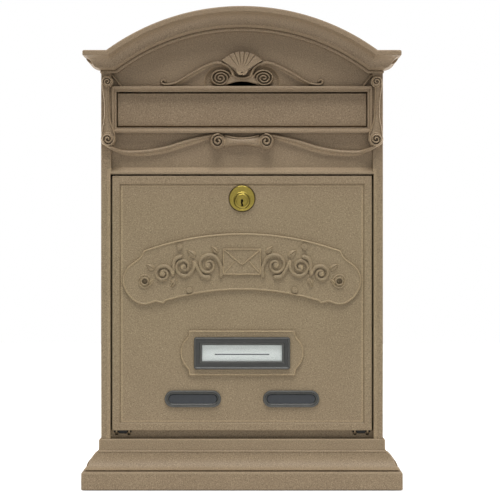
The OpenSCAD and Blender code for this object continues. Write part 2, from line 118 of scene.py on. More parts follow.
def powder_coat(name="sandy_powder_coat", paint_crease_shade=True):
    """Fine sandy powder coat: warm beige bronze with darker and lighter grains, a soft broad unevenness and a grainy
    bump; edges are painted paler as a painted highlight (partly edge wear), and creases and recesses are painted darker
    as painted shade unless that is switched off.
    """
    m, nt, bs = material(name)
    tc = nt.nodes.new("ShaderNodeTexCoord")
    co = tc.outputs["Object"]
    grain = noise_tex(nt, co, 1350.0, 2.5, 0.62)
    coarse = noise_tex(nt, co, 760.0, 1.5, 0.5)
    cloud = noise_tex(nt, co, 26.0, 3.0, 0.55)
    base = ramp(nt, grain.outputs[0], [
        (0.30, rgb(*BRONZE_DARK)), (0.47, rgb(*BRONZE)), (0.56, rgb(*BRONZE)), (0.72, rgb(*BRONZE_LIGHT))])
    mott = ramp(nt, coarse.outputs[0], [(0.35, (0.95, 0.95, 0.95, 1)), (0.65, (1.045, 1.045, 1.045, 1))])
    c1 = mixc(nt, 1.0, base.outputs[0], mott.outputs[0], "MULTIPLY")
    cl = ramp(nt, cloud.outputs[0], [(0.3, (0.96, 0.955, 0.95, 1)), (0.7, (1.03, 1.035, 1.04, 1))])
    c2 = mixc(nt, 1.0, c1, cl.outputs[0], "MULTIPLY")
    # a little more khaki on the door, a little rosier above and below it
    sep = nt.nodes.new("ShaderNodeSeparateXYZ")
    nt.links.new(co, sep.inputs[0])
    up = nt.nodes.new("ShaderNodeMapRange")
    up.inputs["From Min"].default_value = -0.23
    up.inputs["From Max"].default_value = 0.21
    nt.links.new(sep.outputs["Z"], up.inputs["Value"])
    hue = ramp(nt, up.outputs[0], [(0.05, (1, 0.98, 0.975, 1)), (0.18, (1, 1.005, 0.99, 1)), (0.34, (1, 1.02, 0.985, 1)),
                                   (0.58, (1, 1.018, 0.985, 1)), (0.7, (1, 0.968, 0.98, 1)), (0.9, (1, 0.965, 0.98, 1))])
    c2 = mixc(nt, 1.0, c2, hue.outputs[0], "MULTIPLY")
    # painted highlight: edges painted a little paler, partly as edge wear; painted shade: creases painted darker
    painted_edge_highlight_ao = nt.nodes.new("ShaderNodeAmbientOcclusion")
    painted_edge_highlight_ao.samples = 5
    painted_edge_highlight_ao.inside = True
    painted_edge_highlight_ao.inputs["Distance"].default_value = 0.0009
    edge = ramp(nt, painted_edge_highlight_ao.outputs["AO"], [(0.3, (1.3, 1.3, 1.28, 1)), (0.86, (1, 1, 1, 1))])
    c3 = mixc(nt, 1.0, c2, edge.outputs[0], "MULTIPLY")
    # painted shade: the colour darkens where ambient occlusion finds other surfaces close by, in creases, recesses and
    # between parts
    ao = nt.nodes.new("ShaderNodeAmbientOcclusion")
    ao.samples = 6
    ao.inputs["Distance"].default_value = 0.0025
    painted_crease_shade = ramp(nt, ao.outputs["AO"], [(0.0, (0.16, 0.145, 0.13, 1)), (0.3, (0.6, 0.585, 0.57, 1)), (0.62, (0.93, 0.925, 0.92, 1)), (0.86, (1, 1, 1, 1))])
    c4 = mixc(nt, 1.0, c3, painted_crease_shade.outputs[0], "MULTIPLY") if paint_crease_shade else c3
    nt.links.new(c4, bs.inputs["Base Color"])
    rr = nt.nodes.new("ShaderNodeMapRange")
    rr.inputs["To Min"].default_value = 0.5
    rr.inputs["To Max"].default_value = 0.68
    nt.links.new(coarse.outputs[0], rr.inputs["Value"])
    nt.links.new(rr.outputs[0], bs.inputs["Roughness"])
    bs.inputs["Specular IOR Level"].default_value = 0.42
    b1 = nt.nodes.new("ShaderNodeBump")
    b1.inputs["Strength"].default_value = 0.5
    b1.inputs["Distance"].default_value = 0.00016
    nt.links.new(grain.outputs[0], b1.inputs["Height"])
    b2 = nt.nodes.new("ShaderNodeBump")
    b2.inputs["Strength"].default_value = 0.4
    b2.inputs["Distance"].default_value = 0.0002
    nt.links.new(coarse.outputs[0], b2.inputs["Height"])
    nt.links.new(b1.outputs[0], b2.inputs["Normal"])
    nt.links.new(b2.outputs[0], bs.inputs["Normal"])
    return m


def metal(name, color, rough, scale=(1.0, 1.0, 1.0), streak=900.0, bump=0.00002, dark=0.8, metallic=1.0):
    m, nt, bs = material(name)
    tc = nt.nodes.new("ShaderNodeTexCoord")
    mp = nt.nodes.new("ShaderNodeMapping")
    mp.inputs["Scale"].default_value = scale
    nt.links.new(tc.outputs["Object"], mp.inputs["Vector"])
    st = noise_tex(nt, mp.outputs[0], streak, 3.0, 0.6)
    cl = noise_tex(nt, tc.outputs["Object"], 130.0, 3.0, 0.6)
    c = ramp(nt, st.outputs[0], [(0.3, tuple(v * dark for v in color[:3]) + (1.0,)), (0.7, color)])
    c2 = ramp(nt, cl.outputs[0], [(0.3, (0.86, 0.84, 0.8, 1)), (0.7, (1.05, 1.05, 1.05, 1))])
    nt.links.new(mixc(nt, 1.0, c.outputs[0], c2.outputs[0], "MULTIPLY"), bs.inputs["Base Color"])
    bs.inputs["Metallic"].default_value = metallic
    rr = nt.nodes.new("ShaderNodeMapRange")
    rr.inputs["To Min"].default_value = rough * 0.8
    rr.inputs["To Max"].default_value = rough * 1.25
    nt.links.new(cl.outputs[0], rr.inputs["Value"])
    nt.links.new(rr.outputs[0], bs.inputs["Roughness"])
    b = nt.nodes.new("ShaderNodeBump")
    b.inputs["Strength"].default_value = 0.5
    b.inputs["Distance"].default_value = bump
    nt.links.new(st.outputs[0], b.inputs["Height"])
    nt.links.new(b.outputs[0], bs.inputs["Normal"])
    return m


def plastic(name, color, rough, grain=2200.0, bump=0.00003, vary=0.12, spec=0.5, rim=1.0):
    m, nt, bs = material(name)
    tc = nt.nodes.new("ShaderNodeTexCoord")
    g = noise_tex(nt, tc.outputs["Object"], grain, 2.0, 0.5)
    cl = noise_tex(nt, tc.outputs["Object"], 160.0, 3.0, 0.6)
    lo = tuple(v * (1 - vary) for v in color[:3]) + (1.0,)
    hi = tuple(min(1.0, v * (1 + vary)) for v in color[:3]) + (1.0,)
    c = ramp(nt, cl.outputs[0], [(0.3, lo), (0.7, hi)])
    # painted highlight: where rim is above 1 the edges are painted that much paler
    painted_edge_highlight_ao = nt.nodes.new("ShaderNodeAmbientOcclusion")
    painted_edge_highlight_ao.samples = 5
    painted_edge_highlight_ao.inside = True
    painted_edge_highlight_ao.inputs["Distance"].default_value = 0.0014
    edge = ramp(nt, painted_edge_highlight_ao.outputs["AO"], [(0.35, (rim, rim, rim, 1)), (0.85, (1, 1, 1, 1))])
    nt.links.new(mixc(nt, 1.0, c.outputs[0], edge.outputs[0], "MULTIPLY"), bs.inputs["Base Color"])
    rr = nt.nodes.new("ShaderNodeMapRange")
    rr.inputs["To Min"].default_value = rough * 0.85
    rr.inputs["To Max"].default_value = rough * 1.15
    nt.links.new(cl.outputs[0], rr.inputs["Value"])
    nt.links.new(rr.outputs[0], bs.inputs["Roughness"])
    bs.inputs["Specular IOR Level"].default_value = spec
    b = nt.nodes.new("ShaderNodeBump")
    b.inputs["Strength"].default_value = 0.4
    b.inputs["Distance"].default_value = bump
    nt.links.new(g.outputs[0], b.inputs["Height"])
    nt.links.new(b.outputs[0], bs.inputs["Normal"])
    return m


def clear_window():
    m, nt, bs = material("clear_window")
    tc = nt.nodes.new("ShaderNodeTexCoord")
    cl = noise_tex(nt, tc.outputs["Object"], 240.0, 3.0, 0.6)
    c = ramp(nt, cl.outputs[0], [(0.3, (0.93, 0.96, 0.95, 1)), (0.7, (0.97, 0.985, 0.98, 1))])
    nt.links.new(c.outputs[0], bs.inputs["Base Color"])
    rr = nt.nodes.new("ShaderNodeMapRange")
    rr.inputs["To Min"].default_value = 0.03
    rr.inputs["To Max"].default_value = 0.09
    nt.links.new(cl.outputs[0], rr.inputs["Value"])
    nt.links.new(rr.outputs[0], bs.inputs["Roughness"])
    bs.inputs["Alpha"].default_value = 0.04
    return m


BRONZE = (141, 123, 97)
BRONZE_DARK = (108, 92, 69)
BRONZE_LIGHT = (174, 156, 126)
COAT = powder_coat()
COAT_REAR = powder_coat("sandy_powder_coat_rear", paint_crease_shade=False)
STEEL = metal("zinc_plated_steel", rgb(196, 196, 190), 0.34, scale=(0.08, 1.0, 1.0))
SPRING = metal("spring_wire", rgb(150, 150, 150), 0.3)
BRASS = metal("satin_brass", rgb(176, 158, 80), 0.36, scale=(0.15, 1.0, 1.0), streak=1500.0)
# painted highlight: the grey plastic's edges are painted up to 2.6 times paler
GREY = plastic("grey_moulded_plastic", rgb(55, 55, 53), 0.36, rim=2.6)
# pale plastic for the painted highlight lines along the grey plastic's edges
PAINTED_HIGHLIGHT_PLASTIC = plastic("grey_plastic_painted_highlight", rgb(92, 92, 87), 0.4)
# dark steel, also darkened so the hinge pins read as shade in their slots
DARK_STEEL_SLOT_SHADE = metal("blackened_steel_slot_shade", rgb(58, 56, 54), 0.5, scale=(0.1, 1.0, 1.0))
SMOKE = plastic("smoked_plastic", rgb(50, 53, 57), 0.25, grain=500.0, bump=0.00001, vary=0.07)
CARD = plastic("white_card", rgb(216, 222, 218), 0.75, grain=1400.0, bump=0.000005, vary=0.015, spec=0.2)
INK = plastic("ruled_line", rgb(62, 64, 68), 0.7, grain=1400.0, bump=0.00001, vary=0.05, spec=0.2)
# black rubber for the bumpers; also used as a black painted shadow on the hinge lugs and behind the keyway
BLACK_RUBBER_AND_SHADOW = plastic("black_rubber_and_painted_shadow", rgb(34, 34, 34), 0.7, grain=900.0, bump=0.00006)
CLEAR = clear_window()


# ------------------------------------------------------------------ mesh code
class Acc:
    """Collects shells, each a list of vertices and faces, into one mesh."""

    def __init__(self):
        self.v, self.f = [], []

    def add(self, vf):
        v, f = vf
        n = len(self.v)
        self.v += v
        self.f += [tuple(i + n for i in q) for q in f]
        return self

    def both(self, vf):
        v, f = vf
        self.add((v, f))
        self.add(([Vector((-p[0], p[1], p[2])) for p in v], [tuple(reversed(q)) for q in f]))
        return self


def make(name, acc, mat, body, angle=32.0, weld=1e-6, replaces=()):
    me = bpy.data.meshes.new(name)
    if isinstance(acc, Acc):
        me.from_pydata([tuple(p) for p in acc.v], [], acc.f)
    else:
        me.from_pydata([tuple(p) for p in acc[0]], [], acc[1])
    bm = bmesh.new()
    bm.from_mesh(me)
    bmesh.ops.remove_doubles(bm, verts=bm.verts, dist=weld)
    bmesh.ops.dissolve_degenerate(bm, edges=bm.edges, dist=1e-7)
    loose = [v for v in bm.verts if not v.link_faces]
    bmesh.ops.delete(bm, geom=loose, context="VERTS")
    bmesh.ops.recalc_face_normals(bm, faces=bm.faces)
    bm.to_mesh(me)
    bm.free()
    me.shade_smooth()
    me.set_sharp_from_angle(angle=math.radians(angle))
    for q in me.polygons:
        if q.area > 6e-6 and max(abs(c) for c in q.normal) > 0.9995:
            q.use_smooth = False
    ob = bpy.data.objects.new(name, me)
    bpy.context.scene.collection.objects.link(ob)
    me.materials.append(mat)
    wn = ob.modifiers.new("weighted", "WEIGHTED_NORMAL")
    wn.keep_sharp = True
    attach(ob, body)
    if replaces:
        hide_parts(*replaces)
    return ob


def loft(rings, cyclic=False, caps=True):
    """Rings of equally many (x, d, z) points, joined one to the next; each ring is a closed outline."""
    n, m = len(rings[0]), len(rings)
    v = [P(*p) for r in rings for p in r]
    f = []
    for i in range(m if cyclic else m - 1):
        a, b = i * n, ((i + 1) % m) * n
        for k in range(n):
            j = (k + 1) % n
            f.append((a + k, a + j, b + j, b + k))
    if caps and not cyclic:
        f.append(tuple(range(n - 1, -1, -1)))
        f.append(tuple(range((m - 1) * n, m * n)))
    return v, f


def plate(loops, d0, d1, bevel=0.5, res=2):
    """An outline in (x, z), the later loops being holes, from d0 to d1, with rounded edges. Made by way of a 2D curve."""
    cu = bpy.data.curves.new("tmp", "CURVE")
    cu.dimensions = "2D"
    cu.fill_mode = "BOTH"
    for lp in loops:
        s = cu.splines.new("POLY")
        s.points.add(len(lp) - 1)
        for i, (x, z) in enumerate(lp):
            s.points[i].co = (x / 1000.0, (z - ZH) / 1000.0, 0.0, 1.0)
        s.use_cyclic_u = True
    cu.extrude = max(0.00001, ((d1 - d0) / 2.0 - bevel) / 1000.0)
    cu.bevel_depth = bevel / 1000.0
    cu.bevel_resolution = res
    cu.offset = -bevel / 1000.0
    ob = bpy.data.objects.new("tmp", cu)
    bpy.context.scene.collection.objects.link(ob)
    dg = bpy.context.evaluated_depsgraph_get()
    me = bpy.data.meshes.new_from_object(ob.evaluated_get(dg))
    dm = (d0 + d1) / 2000.0
    v = [Vector((p.co[0], -p.co[2] - dm, p.co[1])) for p in me.vertices]
    f = [tuple(q.vertices) for q in me.polygons]
    bpy.data.objects.remove(ob)
    bpy.data.curves.remove(cu)
    bpy.data.meshes.remove(me)
    return v, f


def bbox(x0, x1, d0, d1, z0, z1, b=0.4, seg=2):
    bm = bmesh.new()
    bmesh.ops.create_cube(bm, size=1.0)
    for q in bm.verts:
        q.co = P(x0 + (q.co.x + 0.5) * (x1 - x0), d0 + (0.5 - q.co.y) * (d1 - d0), z0 + (q.co.z + 0.5) * (z1 - z0))
    if b > 0:
        bmesh.ops.bevel(bm, geom=list(bm.edges), offset=b / 1000.0, segments=seg, affect="EDGES", profile=0.5)
    v = [q.co.copy() for q in bm.verts]
    bm.verts.index_update()
    f = [tuple(q.index for q in face.verts) for face in bm.faces]
    bm.free()
    return v, f


def lathe(x, z, prof, seg=48, sx=1.0, sz=1.0):
    """prof is (radius, d) from one end to the other; a radius of 0 closes it on the axis."""
    v, f, rows = [], [], []
    for r, d in prof:
        if r <= 1e-6:
            rows.append([len(v)])
            v.append(P(x, d, z))
        else:
            rows.append(list(range(len(v), len(v) + seg)))
            for k in range(seg):
                a = 2 * math.pi * k / seg
                v.append(P(x + sx * r * math.cos(a), d, z + sz * r * math.sin(a)))
    for a, b in zip(rows, rows[1:]):
        for k in range(seg):
            j = (k + 1) % seg
            if len(a) == 1 and len(b) == 1:
                continue
            if len(a) == 1:
                f.append((a[0], b[k], b[j]))
            elif len(b) == 1:
                f.append((a[k], b[0], a[j]))
            else:
                f.append((a[k], b[k], b[j], a[j]))
    return v, f


def xlathe(d, z, prof, seg=32):
    """A turned piece along X: prof is (radius, x)."""
    v, f = lathe(0.0, ZH, [(r, x) for r, x in prof], seg)
    out = []
    for p in v:
        out.append(Vector((-p.y, -d / 1000.0 + p.x, (z - ZH) / 1000.0 + p.z)))
    return out, f


def smooth_path(pts, n=8, closed=False):
    """Catmull-Rom curve through the points."""
    q = [Vector(p) for p in pts]
    m = len(q)
    out = []
    for i in range(m if closed else m - 1):
        if closed:
            a, b, c, e = q[(i - 1) % m], q[i], q[(i + 1) % m], q[(i + 2) % m]
        else:
            a, b, c, e = q[max(i - 1, 0)], q[i], q[i + 1], q[min(i + 2, m - 1)]
        for k in range(n):
            t = k / n
            out.append(0.5 * ((2 * b) + (c - a) * t + (2 * a - 5 * b + 4 * c - e) * t * t + (3 * b - a - 3 * c + e) * t ** 3))
    if not closed:
        out.append(q[-1])
    return out


def tube(path, width, height, n=14, cap=4):
    """A rounded ridge along (x, z, d) points: width across, height towards the front; both may be functions of 0..1."""
    pts = [Vector((p[0], p[1], p[2])) for p in path]
    w = width if callable(width) else (lambda t: width)
    h = height if callable(height) else (lambda t: height)
    m = len(pts)
    s = [0.0]
    for a, b in zip(pts, pts[1:]):
        s.append(s[-1] + max((b - a).length, 1e-6))
    rings = []

    def ring(c, tg, ww, hh):
        nx = Vector((-tg.y, tg.x)).normalized() if tg.length > 1e-9 else Vector((1, 0))
        return [(c.x + ww / 2 * math.cos(2 * math.pi * k / n) * nx.x, c.z + hh / 2 * math.sin(2 * math.pi * k / n),
                 c.y + ww / 2 * math.cos(2 * math.pi * k / n) * nx.y) for k in range(n)]
    tans = []
    for i in range(m):
        t = pts[min(i + 1, m - 1)] - pts[max(i - 1, 0)]
        tans.append(Vector((t.x, t.y)))
    t0 = tans[0].normalized()
    for k in range(cap):
        a = math.radians(90 * k / cap)
        off = w(0) / 2 * math.cos(a)
        sc = max(math.sin(a), 0.02)
        c = pts[0] - Vector((t0.x * off, t0.y * off, 0))
        rings.append(ring(c, tans[0], w(0) * sc, h(0) * sc))
    for i in range(m):
        u = s[i] / s[-1]
        rings.append(ring(pts[i], tans[i], w(u), h(u)))
    t1 = tans[-1].normalized()
    for k in range(cap - 1, -1, -1):
        a = math.radians(90 * k / cap)
        off = w(1) / 2 * math.cos(a)
        sc = max(math.sin(a), 0.02)
        c = pts[-1] + Vector((t1.x * off, t1.y * off, 0))
        rings.append(ring(c, tans[-1], w(1) * sc, h(1) * sc))
    return loft(rings)


def spiral(cx, cz, r0, r1, a0, turns, n=22, sx=1.0, sz=1.0):
    """(x, z) points from radius r0 to r1, starting at angle a0, over so many turns, negative for clockwise."""
    m = int(abs(turns) * n) + 1
    out = []
    for i in range(m):
        t = i / (m - 1)
        r = r0 + (r1 - r0) * t
        a = a0 + 360.0 * turns * t
        out.append((cx + sx * r * cosd(a), cz + sz * r * sind(a)))
    return out


def at(pts, d):
    return [(p[0], p[1], d) for p in pts]


def bulge(pts, d, back=0.0):
    """A soft cushion over a closed (x, z) outline: rings pulled in towards its middle and raised."""
    cx = sum(p[0] for p in pts) / len(pts)
    cz = sum(p[1] for p in pts) / len(pts)
    rings = []
    for s, h in ((1.0, back), (1.0, 0.25), (0.97, 0.5), (0.9, 0.72), (0.78, 0.88), (0.6, 0.97), (0.35, 1.0)):
        rings.append([(cx + (p[0] - cx) * s, d[0] + (d[1] - d[0]) * h, cz + (p[1] - cz) * s) for p in pts])
    return loft(rings)


def ring_frame(x0, x1, z0, z1, prof, sides=(1.0, 1.0, 1.0, 1.0)):
    """A rectangular moulding: prof is a closed outline of (inset, d). sides scale the inset left, right, bottom, top."""
    l, r, b, t = sides
    rings = []
    for sxn, szn in ((0, 0), (1, 0), (1, 1), (0, 1)):
        rings.append([((x1 - w * r) if sxn else (x0 + w * l), d, (z1 - w * t) if szn else (z0 + w * b)) for w, d in prof])
    return loft(rings, cyclic=True)


def arc(cx, cz, r, a0, a1, n):
    return [(cx + r * cosd(a), cz + r * sind(a)) for a in lin(a0, a1, n)]


def mirror_loop(half):
    """A closed loop from its right half, given from the top of the axis down to the bottom."""
    left = [(-x, z) for x, z in reversed(half)]
    if abs(half[-1][0]) < 1e-6:
        left = left[1:]
    if abs(half[0][0]) < 1e-6:
        left = left[:-1]
    return list(half) + left


# ------------------------------------------------------------------ front casting
F = 84.0
TY, SY = 78.6, 78.4          # faces of the arched field and of the field under the slot
front = Acc()

# the cornice: (d over its lower edge, stand-out f)
cp = [(0.0, -4.4), (0.0, 0.1)]
cp += [(1.3 - 1.3 * cosd(a), 0.1 + 0.8 * sind(a)) for a in lin(0, 180, 11)][1:]
cp += [(3.1, 0.9), (3.6, 1.7), (4.2, 2.7)]
cp += [(4.9 + 10.2 * sind(a), 3.7 + 11.7 * (1 - cosd(a))) for a in lin(0, 88, 22)]
cp += [(15.35, 15.75), (15.8, 16.0), (18.7, 16.0), (19.3, 15.8), (19.75, 15.3), (20.0, 14.6)]
cp += [(20.0, -18.0), (13.5, -18.0), (13.5, -7.0), (0.0, -7.0)]


def side_out(d, f):
    """The cornice is hollow in front and fuller at its ends."""
    if 4.9 <= d <= 15.2 and 3.6 <= f <= 15.5:
        return 0.6 * f + 0.4 * (3.7 + 11.7 * math.sqrt(max(0.0, 1.0 - ((15.1 - d) / 10.2) ** 2)))
    return f


def cornice():
    rings = []

    def side(sgn):
        out = []
        def pt(dep, xx, d):
            return (sgn * xx, dep, 380.0 + d)
        st = []
        st.append([pt(66.0, 129 + max(side_out(d, f), -2.6), d) for d, f in cp])
        st.append([pt(min(84 + f - 0.9, 84 + f) if f > -17 else 66.0, 129 + max(side_out(d, f), -2.6), d) for d, f in cp])
        for a in (30, 60, 90):
            row = []
            for d, f in cp:
                rho = 0.9
                if f > -3:
                    row.append((sgn * (129 + side_out(d, f) - rho + rho * cosd(a)), 84 + f - rho + rho * sind(a), 380.0 + d))
                else:
                    row.append((sgn * (129 - 2.6), 84 + f, 380.0 + d))
            st.append(row)
        return st
    left = side(-1)
    right = side(1)
    rings += left
    n = 120
    for i in range(n + 1):
        row = []
        for d, f in cp:
            r = arch_r(d)
            zz = 150.0 + d
            xm = math.sqrt(r * r - zz * zz)
            th = math.degrees(math.atan2(zz, xm))
            a = (180 - th) + (2 * th - 180) * i / n
            row.append((r * cosd(a), 84 + f, 230 + r * sind(a)))
        rings.append(row)
    rings += list(reversed(right))
    return loft(rings)


def arch_r(d):
    return 189.0 + 1.05 * d


front.add(cornice())

# the plinth: (z, f)
pp = [(0.0, 13.0), (0.0, 15.4), (0.25, 16.2), (0.8, 16.8), (1.6, 17.0), (14.6, 17.0), (15.6, 16.8), (16.3, 16.3),
      (16.8, 15.5), (17.0, 14.4), (17.0, 13.9), (17.3, 13.5), (18.1, 13.5), (18.45, 13.9), (18.6, 14.7)]
pp += [(18.6 + 14.9 * (1 - cosd(a)), 3.0 + 11.7 * (1 - sind(a))) for a in lin(3, 88, 22)]
pp += [(33.6, 3.0), (33.85, 3.35), (34.4, 3.4), (34.75, 3.1), (34.9, 2.3), (35.2, 2.0), (44.3, 2.0), (44.9, 1.8), (45.35, 1.3),
       (45.5, 0.5), (45.5, -2.6), (19.0, -2.6), (14.0, 0.0), (14.0, 13.0)]


def plinth():
    rings = []

    def st(sgn, a=None):
        row = []
        for z, f in pp:
            rho = 1.3
            g = f
            if 18.5 < z < 33.55 and f > 2.9:
                g = 0.4 * f + 0.6 * (3.0 + 11.7 * math.sqrt(max(0.0, 1.0 - ((z - 18.6) / 14.9) ** 2)))
            if a is None:
                row.append((sgn * (129 + g), 66.0, z))
            else:
                row.append((sgn * (129 + g - rho + rho * cosd(a)), 84 + f - rho + rho * sind(a), z))
        return row
    rings.append(st(-1))
    for a in (0, 22, 45, 68, 90):
        rings.append(st(-1, a))
    for a in (90, 68, 45, 22, 0):
        rings.append(st(1, a))
    rings.append(st(1))
    return loft(rings)


front.add(plinth())

# stiles
stile = [(120.3, 40), (120.3, 288.4), (119.7, 289.4), (119.7, 386), (129, 386), (129, 40)]
front.both(plate([stile], 66.0, F, 0.7, 3))
# thin bead down each side of the door opening
front.both(plate([[(120.5, 45.2), (123.3, 45.2), (123.3, 290.2), (120.5, 290.2)]], 83.0, 84.7, 0.6, 3))

# arched field, with the dark hollow under the upper saddle
field = [(-124, 345), (-115.3, 345), (-115.3, 363.6), (115.3, 363.6), (115.3, 345), (124, 345)]
a_end = math.degrees(math.acos(124 / 194.0))
field += arc(0, 230, 194.0, a_end, 180 - a_end, 80)
dh = [(9.0, 384.0), (15.5, 387.0), (21.9, 387.2), (27.6, 384.9), (31.9, 380.6), (34.2, 375.5), (34.6, 370.5), (33.6, 367.6)]
dish = [(p.x, p.y) for p in smooth_path(dh, 4)] + [(17.6, 367.6), (16.4, 372.0), (10.5, 376.5)]
pocket = [(-15.9, 367.0), (-15.9, 373.6), (15.9, 373.6), (15.9, 367.0)]
front.add(plate([field, dish, [(-x, z) for x, z in reversed(dish)], pocket], 77.0, TY, 0.05, 1))
rings = []
for s_, d_ in ((1.006, 75.9), (1.006, TY - 0.02), (0.965, TY - 0.4), (0.92, TY - 0.95), (0.86, TY - 1.5), (0.8, TY - 1.85), (0.7, TY - 2.05), (0.5, TY - 2.1)):
    rings.append([(21.0 + (x - 21.0) * s_, d_, 376.0 + (z - 376.0) * s_) for x, z in dish])
front.both(loft(rings))
front.add(ring_frame(-17.2, 17.2, 365.8, 374.9, [(0.0, 74.1), (0.0, 77.6), (1.35, 77.6), (1.35, 74.1)]))
front.add(bbox(-16.6, 16.6, 74.1, 76.2, 366.2, 374.5, 0.1, 1))
# field under the slot
swag = [(-124, 288), (124, 288), (124, 345.2), (115.3, 345.2), (115.3, 330.0), (-115.3, 330.0), (-115.3, 345.2), (-124, 345.2)]
front.add(plate([swag], 77.0, SY, 0.1, 1))

# slot frame: rounded outer band and a lower inner step
sf = [(0.0, 79.0), (0.0, 83.4), (0.2, 84.2), (0.6, 84.8), (1.2, 85.15), (1.8, 85.2), (2.5, 85.0), (3.0, 84.5), (3.25, 83.7),
      (3.35, 83.1), (3.6, 82.9), (4.7, 82.8), (4.95, 82.65), (5.05, 82.3), (5.05, 77.0)]
front.add(ring_frame(-120, 120, 325.3, 368.4, sf))

# sill over the door: sloped band, fillet and edge
sill = [(77.0, 287.6), (83.5, 287.6), (84.1, 287.9), (84.35, 288.5), (84.3, 289.4), (84.0, 289.9), (83.6, 290.1),
        (79.6, 292.7), (78.7, 293.4), (78.4, 293.9), (77.0, 293.9)]
front.add(loft([[(x, d, z) for d, z in sill] for x in lin(-120.6, 120.6, 13)]))
# returns of the sloped band on the stiles
front.both(plate([[(119.4, 290.0), (123.3, 290.0), (123.0, 292.3), (119.4, 293.2)]], 83.4, 84.5, 0.45, 2))

# strip under the door, with the slots of the hinges
strip = [(-120.6, 40), (120.6, 40), (120.6, 52.9), (117.7, 52.9), (117.7, 51.2), (116.3, 51.2), (116.3, 48.6), (113.6, 48.6),
         (113.6, 51.2), (105, 51.2), (105, 48.6), (102.3, 48.6), (102.3, 51.2), (100.9, 51.2), (100.9, 52.9)]
strip += [(-x, z) for x, z in reversed(strip[2:])]
front.add(plate([strip], 75.0, 78.0, 0.15, 1))
front.add(bbox(-121, 121, 75.5, 80.5, 40, 45.0, 0.3))

# inside: ledge and gussets the door shuts against, lugs, bosses and the catch
front.both(bbox(116.4, 121.5, 72.0, 74.5, 62, 288, 0.4))
front.both(plate([[(107, 283.5), (107, 278), (111, 274), (119, 274), (119, 285.5)]], 72.0, 74.5, 0.4, 2))
front.add(bbox(-121, 121, 72.0, 74.5, 283, 292, 0.4))
front.add(bbox(-121, 121, 72.5, 77.5, 288.4, 292, 0.3))
front.add(bbox(-14, 14, 63.6, 74, 288.4, 297, 0.6))
front.add(bbox(-9.6, -7.2, 58, 66, 288.4, 297, 0.4))
# painted shadow: the hinge lugs, cast with the front, are made black so that the hinge slots look as dark as deep shade
lugs = Acc()
lugs.both(bbox(105.6, 113, 72, 76, 42, 52.5, 0.3))
lugs.both(xlathe(78, 52.5, [(0, 105.6), (2.3, 105.6), (2.6, 105.9), (2.6, 112.7), (2.3, 113), (0, 113)]))
lugs.both(bbox(105.6, 113, 74.6, 77.4, 49.9, 55.1, 0.3))
front.both(bbox(116.2, 119, 66.1, 77.5, 361, 370, 0.4))
for pz, pe in ((32, 82.5), (384, 78.0)):
    front.both(lathe(119, pz, [(2.0, 66.2), (5.2, 66.0), (5.6, 66.4), (5.8, pe), (0, pe)], 40))
make("front_casting", front, COAT, "box", angle=28, replaces=("front_frame",))
make("hinge_lugs_shadow_black", lugs, BLACK_RUBBER_AND_SHADOW, "box", angle=40)

# ------------------------------------------------------------------ scroll work
orn = Acc()


# shell: seven ribs fan out from a narrow foot, with fine grooves between them
def smoothstep(e0, e1, x):
    t = min(1.0, max(0.0, (x - e0) / (e1 - e0)))
    return t * t * (3 - 2 * t)


def shell():
    hx, hz = 0.0, 380.6
    na, nr = 150, 26
    cuts = (-0.62, -0.36, -0.12, 0.12, 0.36, 0.62)
    rows = []
    for i in range(na + 1):
        u = -1 + 2 * i / na
        groove = max(math.exp(-((u - g) / 0.02) ** 2) for g in cuts)
        edge = 19.3 + 2.2 * u * u - 0.6 * groove
        row = []
        for j in range(nr + 1):
            t = j / nr
            r = 0.6 + (edge - 0.6) * t
            amax = 59.0 + 119.0 * (1 - smoothstep(1.5, 7.0, r)) ** 1.5
            a = amax * u
            h = 8.5 - 2.7 * t ** 1.3 - 0.5 * smoothstep(0.93, 1.0, t)
            h -= 0.8 * groove * smoothstep(0.2, 0.55, t)
            row.append((hx + r * sind(a), TY + h, hz + r * cosd(a)))
        rows.append(row)
    rings = []
    for row in rows:
        rings.append(row + [(p[0], TY - 2.0, p[2]) for p in reversed(row)])
    return loft(rings)


orn.add(shell())
# pale edge under the shell, and the saddle that carries it
sad_top = [(-9.6, 382.0), (-8.9, 379.6), (-7.0, 377.5), (-3.8, 376.2), (0, 375.9), (3.8, 376.2), (7.0, 377.5), (8.9, 379.6), (9.6, 382.0)]
orn.add(tube(at(smooth_path(sad_top, 6), TY + 3.2), 1.8, 3.8))
sad = [(-9.5, 380.0), (-8.2, 378.4), (-4.5, 376.6), (0, 376.1), (4.5, 376.6), (8.2, 378.4), (9.5, 380.0), (13.5, 374.0), (16.0, 368.9),
       (11.6, 370.6), (6.0, 372.2), (0, 372.7), (-6.0, 372.2), (-11.6, 370.6), (-16.0, 368.9), (-13.5, 374.0)]
orn.add(plate([sad], TY - 0.2, TY + 3.8, 1.0, 3))

# upper volutes: an eye-shaped cushion with three turns of a fine ridge
vol = []
for a in lin(0, 352, 45):
    r = 1.0 + 0.10 * max(0.0, cosd(a - 165)) ** 6
    vol.append((19.5 + 9.5 * r * cosd(a), 375.6 + 7.6 * sind(a) * (1.0 + 0.02 * cosd(a))))
orn.both(bulge(vol, (TY - 2.3, TY + 2.3)))
sp = spiral(19.9, 375.6, 9.3, 1.0, 165, -2.75, 36, 1.0, 0.82)
orn.both(tube([(x, z, TY + 3.0 + 1.9 * i / len(sp)) for i, (x, z) in enumerate(sp)], lambda t: 1.6 - 0.3 * t, lambda t: 4.6 - 1.0 * t, n=14))

